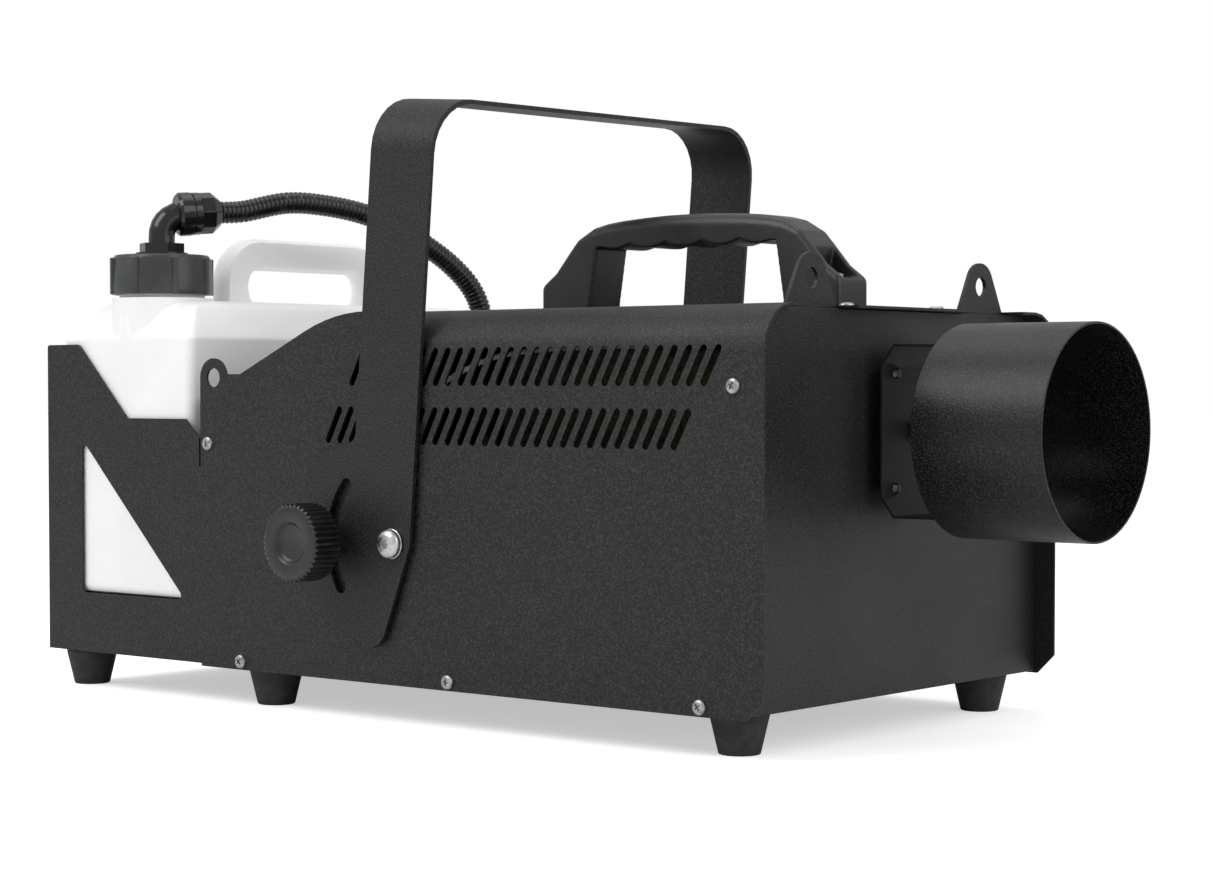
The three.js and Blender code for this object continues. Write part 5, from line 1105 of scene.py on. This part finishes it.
class FOG_OT_rear_controls(bpy.types.Operator):
    """Builds the rear controls' fine parts: contacts, screws, the display's window and the rocker's marks"""

    bl_idname = "fog.rear_controls"
    bl_label = "Rear Controls"

    def execute(self, context):
        bm = bmesh.new()
        for x, y in INLET_BLADES:
            place = rearwards("mains_inlet") @ Matrix.Translation(Vector((x, y, 0)) * MM)
            prism(bm, place, rectangle(*INLET_BLADE), INLET_BLADE_LEVELS)
        fit(made("inlet_blades", bm), "nickel", "body")

        bm = bmesh.new()
        for x, y in JACK_CONTACTS:
            place = rearwards("dmx_in") @ Matrix.Translation(Vector((x, y, 0)) * MM)
            turned(bm, JACK_PIN, JACK_SIDES, place)
        fit(made("jack_pins", bm), "nickel", "body")

        places = []
        for node in ("dmx_in", "dmx_out"):
            for way in (1, -1):
                spot = Vector((way * JACK_SCREW[0], way * JACK_SCREW[1], PLATE_RISE)) * MM
                turn = Matrix.Rotation(JACK_SCREW_TURN + way, 4, "Z")
                small = Matrix.Scale(JACK_SCREW_SCALE, 4)
                places.append(rearwards(node) @ Matrix.Translation(spot) @ turn @ small)
        fit(copies("jack_screws", pan_head(), places), "nickel", "body")

        front = rearwards("display") @ Matrix.Translation((0, 0, PLATE_RISE * MM))
        bm = bmesh.new()
        prism(bm, front, rectangle(*WINDOW_HALF), WINDOW_LEVELS)
        fit(made("display_window", bm), "window", "body")

        bm = bmesh.new()
        long, half = SEGMENT_LONG, SEGMENT_HALF
        bar = [(-long / 2, 0), (half - long / 2, -half), (long / 2 - half, -half), (long / 2, 0),
               (long / 2 - half, half), (half - long / 2, half)]
        step = long / 2 + SEGMENT_GAP
        spots = [(0, y, 0) for y in (-2 * step, 0, 2 * step)]
        spots += [(x, y, math.pi / 2) for x in (-step, step) for y in (-step, step)]
        lean = Matrix(((1, DIGIT_LEAN, 0), (0, 1, 0), (0, 0, 1))).to_4x4()
        for digit in DIGITS:
            for x, y, angle in spots:
                place = Matrix.Translation(Vector((digit, 0, 0)) * MM) @ lean
                place = place @ Matrix.Translation(Vector((x, y, 0)) * MM) @ Matrix.Rotation(angle, 4, "Z")
                prism(bm, front @ place, bar, SEGMENT_LEVELS)
        fit(made("display_segments", bm), "segments", "body")

        rocker = bpy.data.objects["power_rocker_eased"]
        bm = bmesh.new()
        for way, mark in ((1, "on"), (-1, "off")):
            above = rearwards("power_rocker") @ (Vector((way * MARK_OFFSET, 0, MARK_APPROACH)) * MM)
            inside = rocker.matrix_world.inverted()
            found, spot, normal, _ = rocker.ray_cast(inside @ above, inside.to_3x3() @ Vector((1, 0, 0)))
            if not found:
                raise RuntimeError(f"No rocker face under the {mark} mark")
            normal = rocker.matrix_world.to_3x3() @ normal
            up = Vector((0, 0, 1))
            side = up.cross(normal).normalized()
            turn = Matrix((side, normal.cross(side), normal)).transposed().to_4x4()
            place = Matrix.Translation(rocker.matrix_world @ spot) @ turn
            if mark == "on":
                prism(bm, place, rectangle(*MARK_BAR), ((-MARK_SINK, 1), (MARK_RISE, 1)))
            else:
                inner, outer = MARK_RING
                profile = ((inner, -MARK_SINK), (outer, -MARK_SINK), (outer, MARK_RISE), (inner, MARK_RISE))
                rings = turned(bm, profile, MARK_SIDES, place)
                for i in range(MARK_SIDES):
                    j = (i + 1) % MARK_SIDES
                    bm.faces.new((rings[-1][i], rings[-1][j], rings[0][j], rings[0][i]))
        fit(made("rocker_marks", bm), "marks", "power_rocker")
        return {"FINISHED"}


class FOG_OT_stage(bpy.types.Operator):
    """Builds the pale floor, the softboxes and the white surround"""

    bl_idname = "fog.stage"
    bl_label = "Stage"

    def execute(self, context):
        settings = context.scene.fog_machine
        floor_mesh = bpy.data.meshes.new("floor")
        corners = [(x, y, 0) for x, y in rectangle(FLOOR_REACH, FLOOR_REACH)]
        floor_mesh.from_pydata(corners, [], [(0, 1, 2, 3)])
        floor = bpy.data.objects.new("floor", floor_mesh)
        context.scene.collection.objects.link(floor)
        material, tree, surface, place = new_material("pale_studio_floor")
        diffuse = add(tree, "ShaderNodeBsdfDiffuse", Color=linear(0xF4F4F4))
        glow = add(tree, "ShaderNodeEmission", Color=linear(0xFFFFFF), Strength=FLOOR_GLOW)
        both = add(
            tree, "ShaderNodeAddShader", [(0, diffuse.outputs["BSDF"]), (1, glow.outputs["Emission"])]
        )
        rays = add(tree, "ShaderNodeLightPath")
        seen = add(
            tree, "ShaderNodeMixShader",
            [("Fac", rays.outputs["Is Camera Ray"]),
             (1, diffuse.outputs["BSDF"]), (2, both.outputs["Shader"])],
        )
        tree.links.new(seen.outputs["Shader"], surface)
        floor_mesh.materials.append(material)
        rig.stage(floor)

        world = bpy.data.worlds.new("studio_surround")
        context.scene.world = world
        world.use_nodes = True
        tree = world.node_tree
        tree.nodes.clear()
        rays = add(tree, "ShaderNodeLightPath")
        lit = add(tree, "ShaderNodeBackground", Color=linear(0xFFFFFF), Strength=settings.sky)
        white = add(tree, "ShaderNodeBackground", Color=linear(0xFFFFFF), Strength=1.0)
        clear = add(
            tree, "ShaderNodeMath",
            [(0, rays.outputs["Is Camera Ray"]), (1, rays.outputs["Is Transmission Ray"])],
            operation="MAXIMUM",
        )
        mixed = add(
            tree, "ShaderNodeMixShader",
            [("Fac", clear.outputs["Value"]),
             (1, lit.outputs["Background"]), (2, white.outputs["Background"])],
        )
        add(tree, "ShaderNodeOutputWorld", [("Surface", mixed.outputs["Shader"])])

        softboxes = (  # name, place, side and power
            ("key", (-0.75, -1.5, 1.7), 1.3, settings.key_power),
            ("front", (2.3, 0.1, 1.3), 2.0, settings.key_power * 1.1),
            ("top", (-0.3, 0.3, 2.4), 1.6, settings.key_power * 0.5),
        )
        for name, place, size, power in softboxes:
            data = bpy.data.lights.new(name, "AREA")
            data.shape = "SQUARE"
            data.size = size
            data.energy = power
            lamp = bpy.data.objects.new(name, data)
            lamp.location = place
            lamp.rotation_euler = (Vector(place) - LAMP_AIM).to_track_quat("Z", "Y").to_euler()
            context.scene.collection.objects.link(lamp)
        context.scene.view_settings.view_transform = "Standard"
        return {"FINISHED"}


class FOG_PT_panel(bpy.types.Panel):
    """Lists the fog machine's operators and settings"""

    bl_idname = "FOG_PT_panel"
    bl_label = "Fog Machine"
    bl_space_type = "VIEW_3D"
    bl_region_type = "UI"
    bl_category = "Fog Machine"

    def draw(self, context):
        for operator in OPERATORS:
            self.layout.operator(operator.bl_idname)
        for name in FogMachineSettings.__annotations__:
            self.layout.prop(context.scene.fog_machine, name)


OPERATORS = (
    FOG_OT_camera, FOG_OT_hose, FOG_OT_finishes, FOG_OT_eased_forms, FOG_OT_handle, FOG_OT_screws,
    FOG_OT_knobs, FOG_OT_pivot_bolts, FOG_OT_rear_controls, FOG_OT_stage,
)
CLASSES = (FogMachineSettings, *OPERATORS, FOG_PT_panel)


def register():
    for item in CLASSES:
        bpy.utils.register_class(item)
    bpy.types.Scene.fog_machine = PointerProperty(type=FogMachineSettings)


def unregister():
    del bpy.types.Scene.fog_machine
    for item in reversed(CLASSES):
        bpy.utils.unregister_class(item)


def main():
    register()
    for operator in OPERATORS:
        group, name = operator.bl_idname.split(".")
        getattr(getattr(bpy.ops, group), name)()
    boxes = {"cad": CAD_BOX, "visual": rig.bounds()}
    with open(SIZE_FILE, "w") as out:
        json.dump({key: [list(map(float, corner)) for corner in box] for key, box in boxes.items()}, out)


if __name__ == "__main__":
    main()
